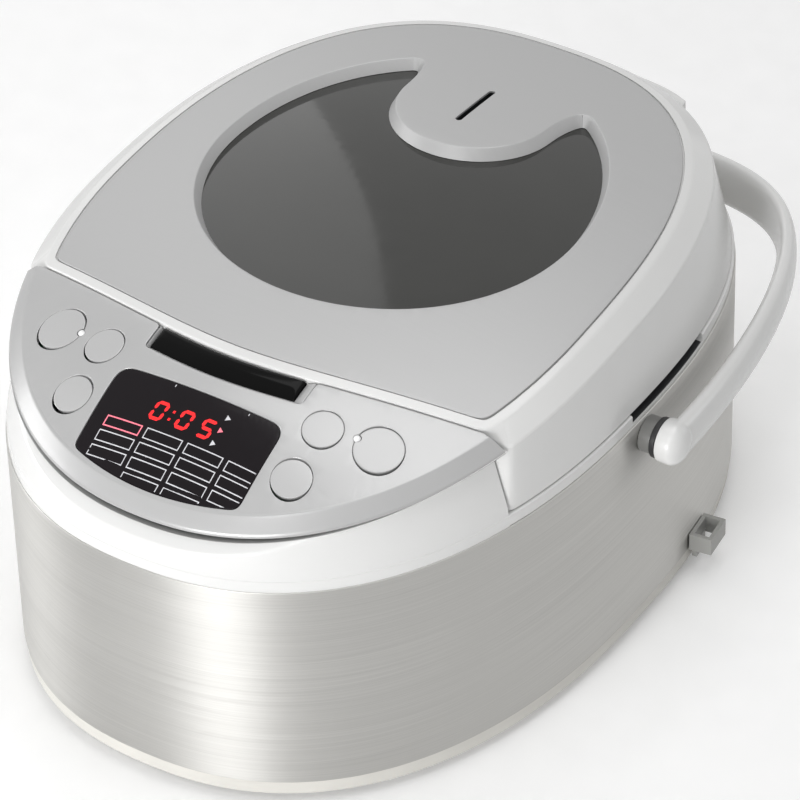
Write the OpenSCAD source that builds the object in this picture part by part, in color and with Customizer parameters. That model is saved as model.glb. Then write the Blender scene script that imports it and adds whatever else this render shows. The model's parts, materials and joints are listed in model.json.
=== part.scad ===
// Countertop multicooker: an egg-shaped steel body, a domed lid with a round
// smoked window, a sloping control panel, a push latch and a folding bail handle.
// The front is -Y and +Z is up. The origin is on the surface that the feet stand
// on, under the pivots of the carrying handle.

/* [Body] */
// Width of the steel shell at its widest place
body_w = 272; // [230:1:330]
// Reach of the steel shell forwards of the handle pivots
body_front = 201; // [190:1:225]
// Reach of the steel shell behind the handle pivots
body_rear = 176; // [172:1:190]
// How far forwards of the handle pivots the body is widest
body_wide = 9.5; // [0:0.5:20]
// Height of the steel band
steel_h = 107; // [95:1:135]
// Thickness of the steel sheet
steel_t = 1; // [0.6:0.1:1.5]
// Height of the plastic base ring that shows below the steel
base_h = 8; // [6:0.5:14]
// Height of the rubber feet
foot_h = 4; // [3:0.5:8]
// Diameter of the rubber feet
foot_d = 22; // [14:1:30]

/* [Lid] */
// Height from the steel band to the top edge of the lid
lid_rise = 59.4; // [52:0.2:70]
// How far the lid's edge falls towards the front of the panel
edge_drop = 30; // [24:1:36]
// Height of the crown of the lid above its edge
crown = 14; // [8:0.5:20]
// Width of the sloping shoulder round the top
shoulder_w = 9; // [6:0.5:12]
// Height of the sloping shoulder
shoulder_h = 7; // [5:0.5:10]
// Width of the bright lip round the lid's plate
lip_w = 3.7; // [3:0.1:6]
// Thickness of the lid's metal plate
plate_t = 1.2; // [0.8:0.1:2]
// Radius of the opening for the window
window_r = 90; // [80:0.5:93]
// Depth of the window below the plate
window_depth = 5; // [4:0.5:7]
// Thickness of the window
window_t = 3; // [2:0.5:4]

/* [Steam tongue] */
// Radius of the rounded tongue over the window
tongue_r = 39.5; // [34:0.5:44]
// Distance of the tongue's centre behind the handle pivots
tongue_y = 78.5; // [74:0.5:82]
// Length of the steam slot
slot_l = 31; // [20:1:34]
// Width of the steam slot
slot_w = 3; // [2:0.5:5]

/* [Bowl] */
// Outer radius of the cooking bowl
bowl_r = 113; // [100:1:116]
// Thickness of the bowl's wall
bowl_t = 1.6; // [1:0.1:3]
// Distance of the bowl's centre behind the handle pivots
bowl_y = 9.5; // [4:0.5:14]

/* [Controls] */
// Diameter of the large buttons
big_button_d = 22; // [18:0.5:24]
// Diameter of the small buttons
small_button_d = 18; // [14:0.5:20]
// Travel of a button
button_travel = 0.8; // [0.4:0.1:1.5]
// Length of the control panel from the lid to the front of the steel
panel_l = 82; // [78:1:90]
// Width of the display window along its rear edge
display_w = 84; // [76:1:88]
// Length of the display window from rear to front
display_l = 39; // [34:1:40]
// Width of the release bar
release_w = 74; // [60:1:78]
// Travel of the release bar
release_travel = 3; // [2:0.5:3.5]

/* [Handle] */
// Distance from the rear of the steel to the outer face of the grip
grip_behind = 23; // [22:1:40]
// Distance from the steel to the middle of the handle's arms
arm_beside = 14.7; // [14.5:0.1:29]
// Height of the arms, and the diameter of their round ends
arm_d = 20; // [16:0.5:22]
// Thickness of the arms
arm_t = 9.8; // [8:0.2:11]
// Width of the flat grip
grip_w = 25; // [20:1:34]
// Thickness of the flat grip
grip_t = 9; // [7:0.5:12]
// How far the handle droops below level when it is folded back
handle_droop = 2.5; // [2:0.5:12]
// Height of the pivots below the top of the steel band
pivot_drop = 10; // [9:0.5:14]

/* [Small parts] */
// Width of the spoon holder
holder_w = 17; // [14:0.5:24]
// Depth of the spoon holder
holder_l = 11; // [9:0.5:16]
// Height of the spoon holder
holder_h = 9; // [7:0.5:14]
// Gap between pieces that do not touch
gap = 0.3; // [0.2:0.05:0.5]
// Radial clearance of a pin that turns in its bore
run_fit = 0.05; // [0.02:0.01:0.1]

/* [Hidden] */
$fn = 64;

// Levels from the floor upwards
steel_z = foot_h + base_h;
deck_z = steel_z + steel_h;
rim_z = deck_z + 6;
lid_z = rim_z + 0.5;
top_z = deck_z + lid_rise;
apex_y = 75.5;
fall_power = 2.4;
fall_length = 260;

// An outline is [half width, front, rear, widest place, front power, rear power]
shell = [body_w / 2, -body_front, body_rear, -body_wide, 2.3, 2.6];
lip_rear = body_rear - 22;
lip_front = 17 - body_front;
lip = [body_w / 2 - 11, lip_front, lip_rear, -27.7, 2.2, 2.5];
shoulder = [lip[0] + shoulder_w, lip[1] - shoulder_w, lip[2] + shoulder_w, lip[3], 2.2, 2.5];

// The front edge of the lid bows forwards: curved in the middle and straight at the sides
front_slope = 0.28;
front_round = 50;
lid_front = panel_l - body_front;
plate_front = lid_front + 5;

deck_t = 4;
bowl_top = deck_z + deck_t / 2 + gap + bowl_t;
bowl_floor = 30.3;
chamber_r = bowl_r + 4;
deck_hole_r = bowl_r + 1.5;
inner_lid_r = bowl_r + 1;

hinge_y = lip_rear + 16;
hinge_z = top_z - 29;
hinge_pin_r = 2.5;
hinge_ear_r = 6.2;
tower_half = 58;

pivot_z = deck_z - pivot_drop;
pivot_pin_r = 3;
boss_r = 8.5;
boss_x = body_w / 2 + 6;
washer_t = 2.5;
arm_inner = boss_x + washer_t + 2 * gap;
arm_x = body_w / 2 + arm_beside;
handle_reach = body_rear + grip_behind;

// ---------- Outlines ----------

function signed_power(v, p) = sign(v) * pow(abs(v), p);

// One point of an outline; t runs from the right side over the rear
function egg_point(e, t) =
    let (c = cos(t), s = sin(t), n = s < 0 ? e[4] : e[5], reach = s < 0 ? e[3] - e[1] : e[2] - e[3])
    [e[0] * signed_power(c, 2 / n), e[3] + reach * signed_power(s, 2 / n)];

// Half width of an outline at one place from front to rear
function egg_half(e, y) =
    let (n = y < e[3] ? e[4] : e[5], reach = y < e[3] ? e[3] - e[1] : e[2] - e[3])
    e[0] * pow(max(0, 1 - pow(min(1, abs(y - e[3]) / reach), n)), 1 / n);

// The same outline moved inwards by d
function inset(e, d) = [e[0] - d, e[1] + d, e[2] - d, e[3], e[4], e[5]];

module egg(e, steps = 120) {
    polygon([for (i = [0 : steps - 1]) egg_point(e, (i + 0.5) * 360 / steps)]);
}

// ---------- The domed top ----------

// Height of the top edge, highest behind the middle and falling to the front
function edge_z(y) = top_z - edge_drop * pow(abs(apex_y - y) / fall_length, fall_power);

// How much of the crown is left towards the front and the rear
function crown_at(y) =
    let (front_flat = lid_front + 26.5, front = (front_flat - y) / (front_flat - lip[1]))
    let (rear = (y - lip[3]) / (lip[2] - lip[3]))
    crown * (1 - pow(max(0, front), 2.5)) * (1 - pow(max(0, rear), 2.5));

function dome_z(x, y) =
    let (half = max(1, egg_half(lip, y)))
    edge_z(y) + crown_at(y) * (1 - pow(min(1, abs(x) / half), 2));

// ---------- The outline of the lid, as a distance from the window's centre ----------

// y of the front edge at one x, moved forwards by d
function front_y(x, d = 0) =
    lid_front - d + front_slope * (sqrt(x * x + front_round * front_round) - front_round);

// y at which an outline meets the front edge
function meet_y(e, d, y = lid_front + 23, n = 4) =
    n == 0 ? y : meet_y(e, d, front_y(egg_half(e, y), d), n - 1);

function lid_holds(e, x, y, front) = abs(x) < egg_half(e, y) && y > front_y(x, front);

// Halving search for the place where the ray at th leaves the outline
function leave(e, th, front, low = 0, high = 260, step = 0) =
    step > 22 ? low :
    let (mid = (low + high) / 2)
    lid_holds(e, mid * cos(th), bowl_y + mid * sin(th), front)
        ? leave(e, th, front, mid, high, step + 1)
        : leave(e, th, front, low, mid, step + 1);

// Half angle of the front edge, as seen from the window's centre
corner_y = meet_y(shoulder, 0);
corner_angle = atan2(egg_half(shoulder, corner_y), bowl_y - corner_y);
front_steps = 16;
side_steps = 56;

// Angles of the lid's sections, with one on each front corner
lid_angles = concat(
    [for (i = [0 : front_steps - 1]) -90 - corner_angle + i * 2 * corner_angle / front_steps],
    [for (i = [0 : side_steps - 1]) corner_angle - 90 + i * (360 - 2 * corner_angle) / side_steps]
);

function lid_point(e, th, front) =
    let (r = leave(e, th, front))
    [r * cos(th), bowl_y + r * sin(th)];

function round_point(r, th) = [r * cos(th), bowl_y + r * sin(th)];

function on_dome(p, d = 0) = [p[0], p[1], dome_z(p[0], p[1]) - d];

function at_z(p, z) = [p[0], p[1], z];

// ---------- Solids from sections ----------

// A closed ring: each section is a loop of points, and the last joins the first
module ring_loft(sections) {
    n = len(sections);
    m = len(sections[0]);
    faces = [
        for (i = [0 : n - 1], j = [0 : m - 1])
        let (a = i * m + j, b = i * m + (j + 1) % m)
        let (c = ((i + 1) % n) * m + (j + 1) % m, d = ((i + 1) % n) * m + j)
        each [[a, b, c], [a, c, d]]
    ];
    polyhedron([for (s = sections) each s], faces);
}

// A bar: each section is a loop of points, with a flat cap at both ends
module bar_loft(sections) {
    n = len(sections);
    m = len(sections[0]);
    sides = [
        for (i = [0 : n - 2], j = [0 : m - 1])
        let (a = i * m + j, b = i * m + (j + 1) % m, c = (i + 1) * m + (j + 1) % m, d = (i + 1) * m + j)
        each [[a, b, c], [a, c, d]]
    ];
    caps = [[for (j = [0 : m - 1]) m - 1 - j], [for (j = [0 : m - 1]) (n - 1) * m + j]];
    polyhedron([for (s = sections) each s], concat(sides, caps));
}

// A sheet between two grids of points with the same rows and columns
module sheet(upper, lower) {
    rows = len(upper);
    cols = len(upper[0]);
    count = rows * cols;
    top = [
        for (i = [0 : rows - 2], j = [0 : cols - 2])
        let (a = i * cols + j, b = a + 1, c = a + cols + 1, d = a + cols)
        each [[a, c, b], [a, d, c]]
    ];
    bottom = [for (f = top) [f[0] + count, f[2] + count, f[1] + count]];
    edge = concat(
        [for (j = [0 : cols - 1]) j],
        [for (i = [1 : rows - 1]) i * cols + cols - 1],
        [for (j = [1 : cols - 1]) (rows - 1) * cols + cols - 1 - j],
        [for (i = [1 : rows - 2]) (rows - 1 - i) * cols]
    );
    walls = [
        for (k = [0 : len(edge) - 1])
        let (a = edge[k], b = edge[(k + 1) % len(edge)])
        each [[a, b, b + count], [a, b + count, a + count]]
    ];
    polyhedron(concat([for (r = upper) each r], [for (r = lower) each r]), concat(top, bottom, walls));
}

// A round dish between two heights that the dome sets: rings from the middle outwards
module domed_disc(angles, rings, upper, lower) {
    n = len(angles);
    m = len(rings);
    count = n * m + 1;
    function spot(i, j, d) = on_dome(rings[j][i], d);
    top = [for (j = [0 : m - 1], i = [0 : n - 1]) spot(i, j, upper)];
    low = [for (j = [0 : m - 1], i = [0 : n - 1]) spot(i, j, lower)];
    points = concat(top, [on_dome([0, bowl_y], upper)], low, [on_dome([0, bowl_y], lower)]);
    fan = [for (i = [0 : n - 1]) [count - 1, (i + 1) % n, i]];
    bands = [
        for (j = [0 : m - 2], i = [0 : n - 1])
        let (a = j * n + i, b = j * n + (i + 1) % n, c = b + n, d = a + n)
        each [[a, b, c], [a, c, d]]
    ];
    upper_faces = concat(fan, bands);
    lower_faces = [for (f = upper_faces) [f[0] + count, f[2] + count, f[1] + count]];
    rim = [
        for (i = [0 : n - 1])
        let (a = (m - 1) * n + i, b = (m - 1) * n + (i + 1) % n)
        each [[a, b, b + count], [a, b + count, a + count]]
    ];
    polyhedron(points, concat(upper_faces, lower_faces, rim));
}

// A coil spring along Z from 0 to its height
module coil(r, wire, turns, height) {
    steps = turns * 12;
    bar_loft([
        for (i = [0 : steps])
        [for (j = [0 : 5])
            let (reach = r + wire * cos(j * 60), rise = wire + i * (height - 2 * wire) / steps)
            [reach * cos(i * 30), reach * sin(i * 30), rise + wire * sin(j * 60)]]
    ]);
}

// ---------- Body ----------

foot_places = [
    [72, 51 - body_front], [-72, 51 - body_front],
    [88, body_rear - 71], [-88, body_rear - 71]
];

module rubber_feet() {
    color("dimgray")
    for (p = foot_places)
        translate([p[0], p[1], 0]) {
            cylinder(d1 = foot_d - 2, d2 = foot_d, h = 1);
            translate([0, 0, 1]) cylinder(d = foot_d, h = foot_h - 1);
            cylinder(d = foot_d / 2, h = foot_h + 2);
        }
}

screw_places = [[0, 25 - body_front], [body_w / 2 - 28, -60], [28 - body_w / 2, -60], [0, body_rear - 26]];

module base_tray() {
    floor_t = 2.5;
    wall = 2.5;
    color("gainsboro")
    difference() {
        union() {
            translate([0, 0, foot_h]) linear_extrude(floor_t) egg(inset(shell, 4));
            translate([0, 0, foot_h + 1]) linear_extrude(base_h - 1) difference() {
                egg(inset(shell, 0.8));
                egg(inset(shell, 0.8 + wall + 2));
            }
            translate([0, 0, steel_z]) linear_extrude(8) difference() {
                egg(inset(shell, steel_t + gap));
                egg(inset(shell, steel_t + gap + wall));
            }
            for (p = screw_places)
                translate([p[0], p[1], foot_h]) cylinder(r = 5, h = 12);
        }
        for (p = foot_places)
            translate([p[0], p[1], foot_h - 1]) cylinder(d = foot_d / 2 + 0.2, h = floor_t + 2);
        for (p = screw_places)
            translate([p[0], p[1], foot_h - 1]) cylinder(r = 1.6, h = 14);
        for (p = screw_places)
            translate([p[0], p[1], foot_h - 1]) cylinder(r = 3.4, h = 4);
        for (i = [-6 : 6])
            translate([i * 7 - 1.5, 20, foot_h - 1]) cube([3, 50, floor_t + 2]);
    }
}

module base_screws() {
    color("silver")
    for (p = screw_places)
        translate([p[0], p[1], foot_h + 0.8]) {
            difference() {
                cylinder(r = 3, h = 2);
                translate([-2, -0.4, -1]) cube([4, 0.8, 1.8]);
                translate([-0.4, -2, -1]) cube([0.8, 4, 1.8]);
            }
            cylinder(r = 1.5, h = 9);
        }
}

module steel_shell() {
    color("silver")
    difference() {
        translate([0, 0, steel_z]) linear_extrude(steel_h) difference() {
            egg(shell);
            egg(inset(shell, steel_t));
        }
        for (s = [-1, 1])
            translate([s * body_w / 2, 0, pivot_z]) rotate([0, 90, 0])
                cylinder(r = pivot_pin_r + 2.5, h = 30, center = true);
        inlet_cut();
    }
}

// Outer face of the collar in front of the lid: rows from the steel to the fascia
cheek_steps = 36;
fascia_gap = 1.2;

// Angle on an outline at which it is at one y in its front half
function angle_at(e, y) = -asin(pow((e[3] - y) / (e[3] - e[1]), e[4] / 2));

// One of the places along an outline between its two meetings with the lid's front edge
function front_point(e, i, steps, back = 0) =
    let (a = angle_at(e, meet_y(e, fascia_gap) - back))
    egg_point(e, -180 - a + i * (180 + 2 * a) / steps);

function ridge_drop(i) = 6 * pow(sin(i * 180 / cheek_steps), 2);

function collar_row(e, i) = front_point(e, i, cheek_steps);

function collar_rows(d) = [
    for (row = [0 : 4])
    [for (i = [0 : cheek_steps])
        let (ledge = ridge_drop(i) / 6)
        let (outer = inset(shell, 0.6 + d))
        let (ridge = inset(shell, 2.2 + 5 * (1 - ledge) + d))
        let (inner = inset(shoulder, -0.2 + d))
        let (top = edge_z(collar_row(shoulder, i)[1]) - shoulder_h)
        row == 0 ? at_z(collar_row(outer, i), deck_z) :
        row == 1 ? at_z(collar_row(inset(outer, 0.5), i), deck_z + 9) :
        row == 2 ? at_z(collar_row(ridge, i), top - 1.2 - 4 * ledge) :
        row == 3 ? at_z(collar_row(inner, i), top - 0.6 - 1.4 * ledge) :
        at_z(collar_row(inset(inner, 3.2), i), top - 1.2 - 1.4 * ledge)]
];

module top_collar() {
    color("whitesmoke")
    difference() {
        union() {
            // Rim that stands on the steel all round
            translate([0, 0, deck_z]) linear_extrude(rim_z - deck_z) difference() {
                egg(inset(shell, 0.6));
                egg(inset(shell, 6));
            }
            // Skirt that locates the steel
            translate([0, 0, deck_z - 8]) linear_extrude(8 + 1) difference() {
                egg(inset(shell, steel_t + gap));
                egg(inset(shell, steel_t + gap + 2.2));
            }
            // Cheek in front of the lid
            sheet(collar_rows(0), collar_rows(2.4));
        }
        // Room for the handle's pivots and the grip slots beside the lid
        for (s = [-1, 1]) {
            translate([s * body_w / 2, 0, pivot_z]) rotate([0, 90, 0]) cylinder(r = 6, h = 40, center = true);
            translate([s * body_w / 2, 22.5, rim_z]) cube([24, 67, 8], center = true);
        }
    }
}

// Deck inside the rim, with the mouth for the bowl and the wall behind the fascia
module bowl_deck() {
    color("gainsboro")
    difference() {
        union() {
            difference() {
                union() {
                    translate([0, 0, deck_z - deck_t / 2]) linear_extrude(deck_t) egg(inset(shell, 6 + gap));
                    // Edge that the rim holds down
                    translate([0, 0, deck_z - deck_t / 2]) linear_extrude(deck_t / 2 - gap)
                        egg(inset(shell, steel_t + 2 * gap + 2.2));
                }
                translate([0, bowl_y, 0]) cylinder(r = deck_hole_r, h = top_z, $fn = 96);
            }
            front_wall();
        }
        // Slot for the latch hook
        translate([-hook_w / 2 - 1, lid_front - 14, hook_top - hook_h - 1])
            cube([hook_w + 2, 24, hook_h + 2]);
        // Way for the release bar
        translate([0, 0, release_low - release_travel - 1]) linear_extrude(60) release_outline(1);
    }
}

// Upright wall along the lid's front edge, from the deck to the fascia
module front_wall() {
    half = 112;
    steps = 24;
    wall = 2;
    clear = 2.6;
    function wall_x(i) = -half + i * 2 * half / steps;
    function wall_row(d, low) = [
        for (i = [0 : steps])
        let (x = wall_x(i), y = front_y(x, clear + d))
        [x, y, low ? deck_z + 1 : dome_z(x, y) - 3.4]
    ];
    sheet([wall_row(wall, true), wall_row(wall, false)], [wall_row(0, true), wall_row(0, false)]);
}

module inner_chamber() {
    color("lightgray")
    translate([0, bowl_y, 0])
    difference() {
        union() {
            translate([0, 0, 16]) cylinder(r = chamber_r, h = deck_z - 2 - 16);
        }
        translate([0, 0, 17]) cylinder(r = chamber_r - 1, h = deck_z);
        translate([0, 0, 10]) cylinder(r = 20, h = 20);
    }
}

plate_r = 82;

module heating_plate() {
    color("darkgray")
    translate([0, bowl_y, 0])
    difference() {
        union() {
            translate([0, 0, 20]) cylinder(r = plate_r, h = bowl_floor - gap - 20);
            for (i = [0 : 2])
                rotate(90 + i * 120) translate([60, 0, 17]) cylinder(r = 5, h = 4);
        }
        translate([0, 0, 10]) cylinder(r = 21, h = 30);
    }
}

sensor_low = 22;
tray_top = foot_h + 2.5;

module sensor_plunger() {
    color("silver")
    translate([0, bowl_y, 0]) {
        translate([0, 0, sensor_low]) cylinder(r = 18, h = bowl_floor - gap - sensor_low);
        translate([0, 0, 10]) cylinder(r = 4, h = 13);
    }
}

// Spring between the tray and the plunger
module sensor_spring() {
    color("gray")
    translate([0, bowl_y, tray_top + gap]) coil(7.5, 0.7, 4, sensor_low - tray_top - 2 * gap);
}

module cooking_bowl() {
    wall_top = bowl_top - bowl_t;
    color("dimgray")
    translate([0, bowl_y, 0])
    rotate_extrude($fn = 120)
    difference() {
        union() {
            translate([0, bowl_floor]) square([bowl_r - 14, bowl_t]);
            translate([bowl_r - 14, bowl_floor + 14]) intersection() {
                difference() {
                    circle(r = 14, $fn = 64);
                    circle(r = 14 - bowl_t, $fn = 64);
                }
                translate([0, -20]) square([20, 20]);
            }
            translate([bowl_r - bowl_t, bowl_floor + 14]) square([bowl_t, bowl_top - bowl_floor - 14]);
            translate([bowl_r - bowl_t, wall_top]) square([10, bowl_t]);
        }
    }
}

module power_board() {
    color("seagreen")
    translate([-45, 26 - body_front, 0]) {
        translate([0, 0, 24]) cube([90, 42, 1.6]);
        translate([8, 6, 25.6]) cube([22, 26, 22]);
        translate([40, 8, 25.6]) cube([16, 12, 14]);
        translate([66, 20, 25.6]) cylinder(r = 6, h = 18);
        for (p = [[5, 5], [85, 5], [5, 37], [85, 37]])
            translate([p[0], p[1], foot_h + 2.5]) cylinder(r = 3, h = 24 - foot_h - 2.5);
    }
}

inlet_z = 34;
inlet_w = 28;
inlet_h = 20;

module inlet_cut() {
    translate([-inlet_w / 2 - gap, body_rear - 12, inlet_z - inlet_h / 2 - gap])
        cube([inlet_w + 2 * gap, 30, inlet_h + 2 * gap]);
}

// Recessed inlet for the power lead, with three blades
module inlet_socket() {
    depth = 22;
    color("darkslategray") {
        difference() {
            union() {
                translate([-inlet_w / 2, body_rear - depth - 3, inlet_z - inlet_h / 2])
                    cube([inlet_w, depth + 4, inlet_h]);
                translate([-inlet_w / 2 - 2.5, body_rear + 0.2, inlet_z - inlet_h / 2 - 2.5])
                    cube([inlet_w + 5, 1.8, inlet_h + 5]);
            }
            translate([-inlet_w / 2 + 2, body_rear - depth, inlet_z - inlet_h / 2 + 2])
                cube([inlet_w - 4, depth + 8, inlet_h - 4]);
        }
        for (x = [-7, 0, 7])
            translate([x - 1, body_rear - depth - 1, inlet_z - 2 + (x == 0 ? 2.5 : -1.5)])
                cube([2, 16, 4]);
    }
}

// ---------- Control panel ----------

fascia_cols = 32;
fascia_t = 2.4;

// Points of the fascia: row 0 is the foot of the shoulder, row 1 its top, the last is at the lid
function fascia_edge(e, i) = front_point(e, i, fascia_cols, 0.8);

function fascia_row(row, i) =
    let (foot = fascia_edge(inset(shoulder, 0.2), i), head = fascia_edge(inset(lip, 0.2), i))
    let (xr = head[0] * 0.985, rear = [xr, front_y(xr, fascia_gap)])
    let (k = (row - 1) / 5)
    row == 0 ? foot : [head[0] + (rear[0] - head[0]) * k, head[1] + (rear[1] - head[1]) * k];

function fascia_grid(d) = [
    for (row = [0 : 6])
    [for (i = [0 : fascia_cols])
        let (p = fascia_row(row, i))
        row == 0 ? at_z(p, edge_z(p[1]) - shoulder_h + 0.3 - d * 0.6) : on_dome(p, d)]
];

// Slope of the panel at a place, for pieces that stand square on it
function slope_y(x, y) = atan((dome_z(x, y + 2) - dome_z(x, y - 2)) / 4);
function slope_x(x, y) = atan((dome_z(x + 2, y) - dome_z(x - 2, y)) / 4);

module on_panel(x, y) {
    translate([x, y, dome_z(x, y)]) rotate([slope_y(x, y), -slope_x(x, y), 0]) children();
}

buttons = [
    [82, lid_front - 10.7, big_button_d],
    [-82, lid_front - 10.7, big_button_d],
    [-56.4, lid_front - 14.4, small_button_d],
    [-56.4, lid_front - 38.9, small_button_d],
    [56.4, lid_front - 14.4, small_button_d],
    [56.4, lid_front - 38.9, small_button_d]
];

light_places = [[71.3, lid_front - 10.9], [-71.3, lid_front - 10.9]];
light_r = 1.7;

display_y = lid_front - 21.2;

// Outline of the display window: straight rear and sides and a curved front
module display_outline(d = 0) {
    r = 5;
    w = display_w + 2 * d;
    translate([0, display_y + d])
    difference() {
        translate([0, -display_l - 10])
        union() {
            translate([-w / 2 + r, 0]) square([w - 2 * r, display_l + 10 + 2 * d]);
            translate([-w / 2, 0]) square([w, display_l + 10 + 2 * d - r]);
            for (s = [-1, 1])
                translate([s * (w / 2 - r), display_l + 10 + 2 * d - r]) circle(r = r, $fn = 32);
        }
        translate([0, -display_l - 204]) difference() {
            translate([-100, 0]) square([200, 300]);
            translate([0, 200 + 200]) circle(r = 200 + 2 * d, $fn = 180);
        }
    }
}

module release_outline(d = 0) {
    half = release_w / 2 + d;
    front = 11.5 + d;
    steps = 12;
    polygon(concat(
        [for (i = [0 : steps]) let (x = -half + i * 2 * half / steps) [x, front_y(x) - front]],
        [for (i = [0 : steps]) let (x = half - i * 2 * half / steps) [x, front_y(x) - 0.8 + d * 0.5]]
    ));
}

module control_fascia() {
    color("silver")
    difference() {
        union() {
            sheet(fascia_grid(0), fascia_grid(fascia_t));
            // Posts that carry the board
            difference() {
                for (p = post_places)
                    on_panel(p[0], p[1]) translate([0, 0, board_top - 4]) cylinder(r = 3, h = 3 - board_top);
                on_panel(0, board_y) translate([-80, -30, board_top - 40]) cube([160, 50, 40]);
            }
        }
        for (b = buttons)
            on_panel(b[0], b[1]) translate([0, 0, -8]) cylinder(d = b[2] + 2 * gap, h = 16);
        for (p = light_places)
            on_panel(p[0], p[1]) translate([0, 0, -8]) cylinder(r = light_r + run_fit, h = 16);
        translate([0, 0, deck_z]) linear_extrude(90) display_outline(gap);
        translate([0, 0, deck_z]) linear_extrude(90) release_outline(1);
    }
}

stem_low = -6;

// A panel button: a shallow domed cap on a stem
module panel_button(k) {
    b = buttons[k];
    r = b[2] / 2;
    color("silver")
    difference() {
        on_panel(b[0], b[1]) {
            intersection() {
                translate([0, 0, -3]) cylinder(r = r, h = 5);
                translate([0, 0, 0.8 - 60]) sphere(r = 60, $fn = 96);
            }
            translate([0, 0, stem_low]) cylinder(r = 2, h = -2 - stem_low);
        }
        // Notch for the light beside a large button
        for (p = light_places)
            if (k < 2) on_panel(p[0], p[1]) translate([0, 0, -20]) cylinder(r = light_r + gap, h = 40);
    }
}

module start_button() { panel_button(0); }

module delay_button() { panel_button(1); }

module hours_button() { panel_button(2); }

module minutes_button() { panel_button(3); }

module temperature_button() { panel_button(4); }

module menu_button() { panel_button(5); }

module indicator_lights() {
    color("white")
    for (p = light_places)
        on_panel(p[0], p[1]) translate([0, 0, -6]) cylinder(r = light_r, h = 6.3);
}

board_y = lid_front - 31;
board_top = -19;
board_t = 1.6;
post_places = [
    [69, lid_front - 28], [-69, lid_front - 28],
    [47, lid_front - 51], [-47, lid_front - 51]
];

// A switch under each button stands on the board
module control_board() {
    switch_top = stem_low - button_travel - gap;
    color("seagreen")
    difference() {
        union() {
            on_panel(0, board_y) translate([0, 0, board_top - board_t]) linear_extrude(board_t)
                polygon([
                    [-94, 24], [-40, 24], [-40, 2], [40, 2], [40, 24],
                    [94, 24], [94, 12], [52, -26], [-52, -26], [-94, 12]
                ]);
            for (b = buttons)
                on_panel(b[0], b[1]) translate([0, 0, switch_top - 16]) cylinder(r = 3, h = 16);
        }
        // Nothing hangs below the board
        on_panel(0, board_y) translate([-150, -60, board_top - board_t - 40]) cube([300, 120, 40]);
    }
}

module display_window() {
    color("black")
    intersection() {
        sheet(fascia_grid(0.2), fascia_grid(2.2));
        translate([0, 0, deck_z]) linear_extrude(90) display_outline();
    }
}

module display_module() {
    color("darkred")
    on_panel(0, board_y) translate([-26, -20, board_top + gap]) cube([52, 16, 14.6]);
}

bar_depth = 7;

module release_bar() {
    color("black")
    intersection() {
        sheet(fascia_grid(0.8), fascia_grid(bar_depth));
        translate([0, 0, deck_z]) linear_extrude(90) release_outline();
    }
}

release_y = lid_front - 6;
release_low = dome_z(0, release_y) - bar_depth;
hook_top = release_low - 11.3;
hook_h = 5;
hook_w = 14;
slide_w = 44;
slide_l = 6;
guide_t = 3;
guide_rear = lid_front - 5;
guide_l = 16;

// Two coils between the guide and the release bar
module release_spring() {
    color("gray")
    for (s = [-1, 1])
        translate([s * 28, guide_rear - 4, hook_top + gap])
            coil(2.4, 0.4, 4, dome_z(28, guide_rear - 4) - bar_depth - hook_top - 2 * gap);
}

// Sliding hook: a flat slide in the guide with a nose towards the lid
module latch_hook() {
    color("dimgray") {
        translate([-slide_w / 2, guide_rear - 2 - slide_l, hook_top - hook_h])
            cube([slide_w, slide_l, hook_h]);
        translate([-hook_w / 2, guide_rear - 3, hook_top - hook_h])
            cube([hook_w, lid_front - 1.2 - guide_rear + 3, hook_h]);
    }
}

// Guide on the collar's wall for the hook and the release bar's springs
module latch_guide() {
    color("gainsboro")
    difference() {
        translate([-36, guide_rear - guide_l, hook_top - hook_h - guide_t])
            cube([72, guide_l, hook_h + guide_t]);
        translate([0, guide_rear - 2 - slide_l - release_travel - gap, hook_top - hook_h - gap])
            translate([-slide_w / 2 - gap, 0, 0]) cube([slide_w + 2 * gap, slide_l + release_travel + 2 * gap, 30]);
        translate([-hook_w / 2 - gap, guide_rear - 6, hook_top - hook_h - gap])
            cube([hook_w + 2 * gap, 30, 30]);
    }
}

// ---------- Lid ----------

wall_foot = inset(shell, 1.6);
wall_t = 2.6;
plate_edge = inset(lip, lip_w);
window_y = bowl_y + 2.5;
window_egg = [window_r, window_y + 1 - window_r, window_y + 15 + window_r, window_y, 2, 2];
sill = 3;
arm_half = 30;
notch_z = hinge_z + 12;
pocket_y = hinge_y - 11;
pocket_wall = 2.4;

// Drop from the dome to the lower edge of the lid's rim at one section
function rim_drop(i, p) =
    let (past = max(0, abs(p[0]) - egg_half(lip, p[1])) / shoulder_w)
    i <= front_steps ? 3 + (shoulder_h - 3) * min(1, past) : shoulder_h;

function lid_section(i) =
    let (th = lid_angles[i], front = i <= front_steps)
    let (foot = lid_point(wall_foot, th, 0), brow = lid_point(shoulder, th, 0))
    let (head = lid_point(lip, th, -1.5), seat = lid_point(plate_edge, th, plate_front * -1 + lid_front))
    let (mouth = lid_point(window_egg, th, 300), drop = rim_drop(i, brow))
    let (inner_mouth = lid_point(inset(window_egg, sill), th, 300))
    let (inner_brow = lid_point(inset(shoulder, wall_t + 0.6), th, -wall_t))
    let (inner_foot = lid_point(inset(wall_foot, wall_t), th, -wall_t))
    [
        at_z(foot, lid_z), on_dome(brow, drop), on_dome(head), on_dome(seat), on_dome(seat, plate_t + 0.15),
        on_dome(mouth, plate_t + 0.15), on_dome(inner_mouth, window_depth),
        on_dome(lid_point(inset(plate_edge, 8), th, -14), window_depth),
        on_dome(inner_brow, drop + 4), at_z(inner_foot, lid_z)
    ];

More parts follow.
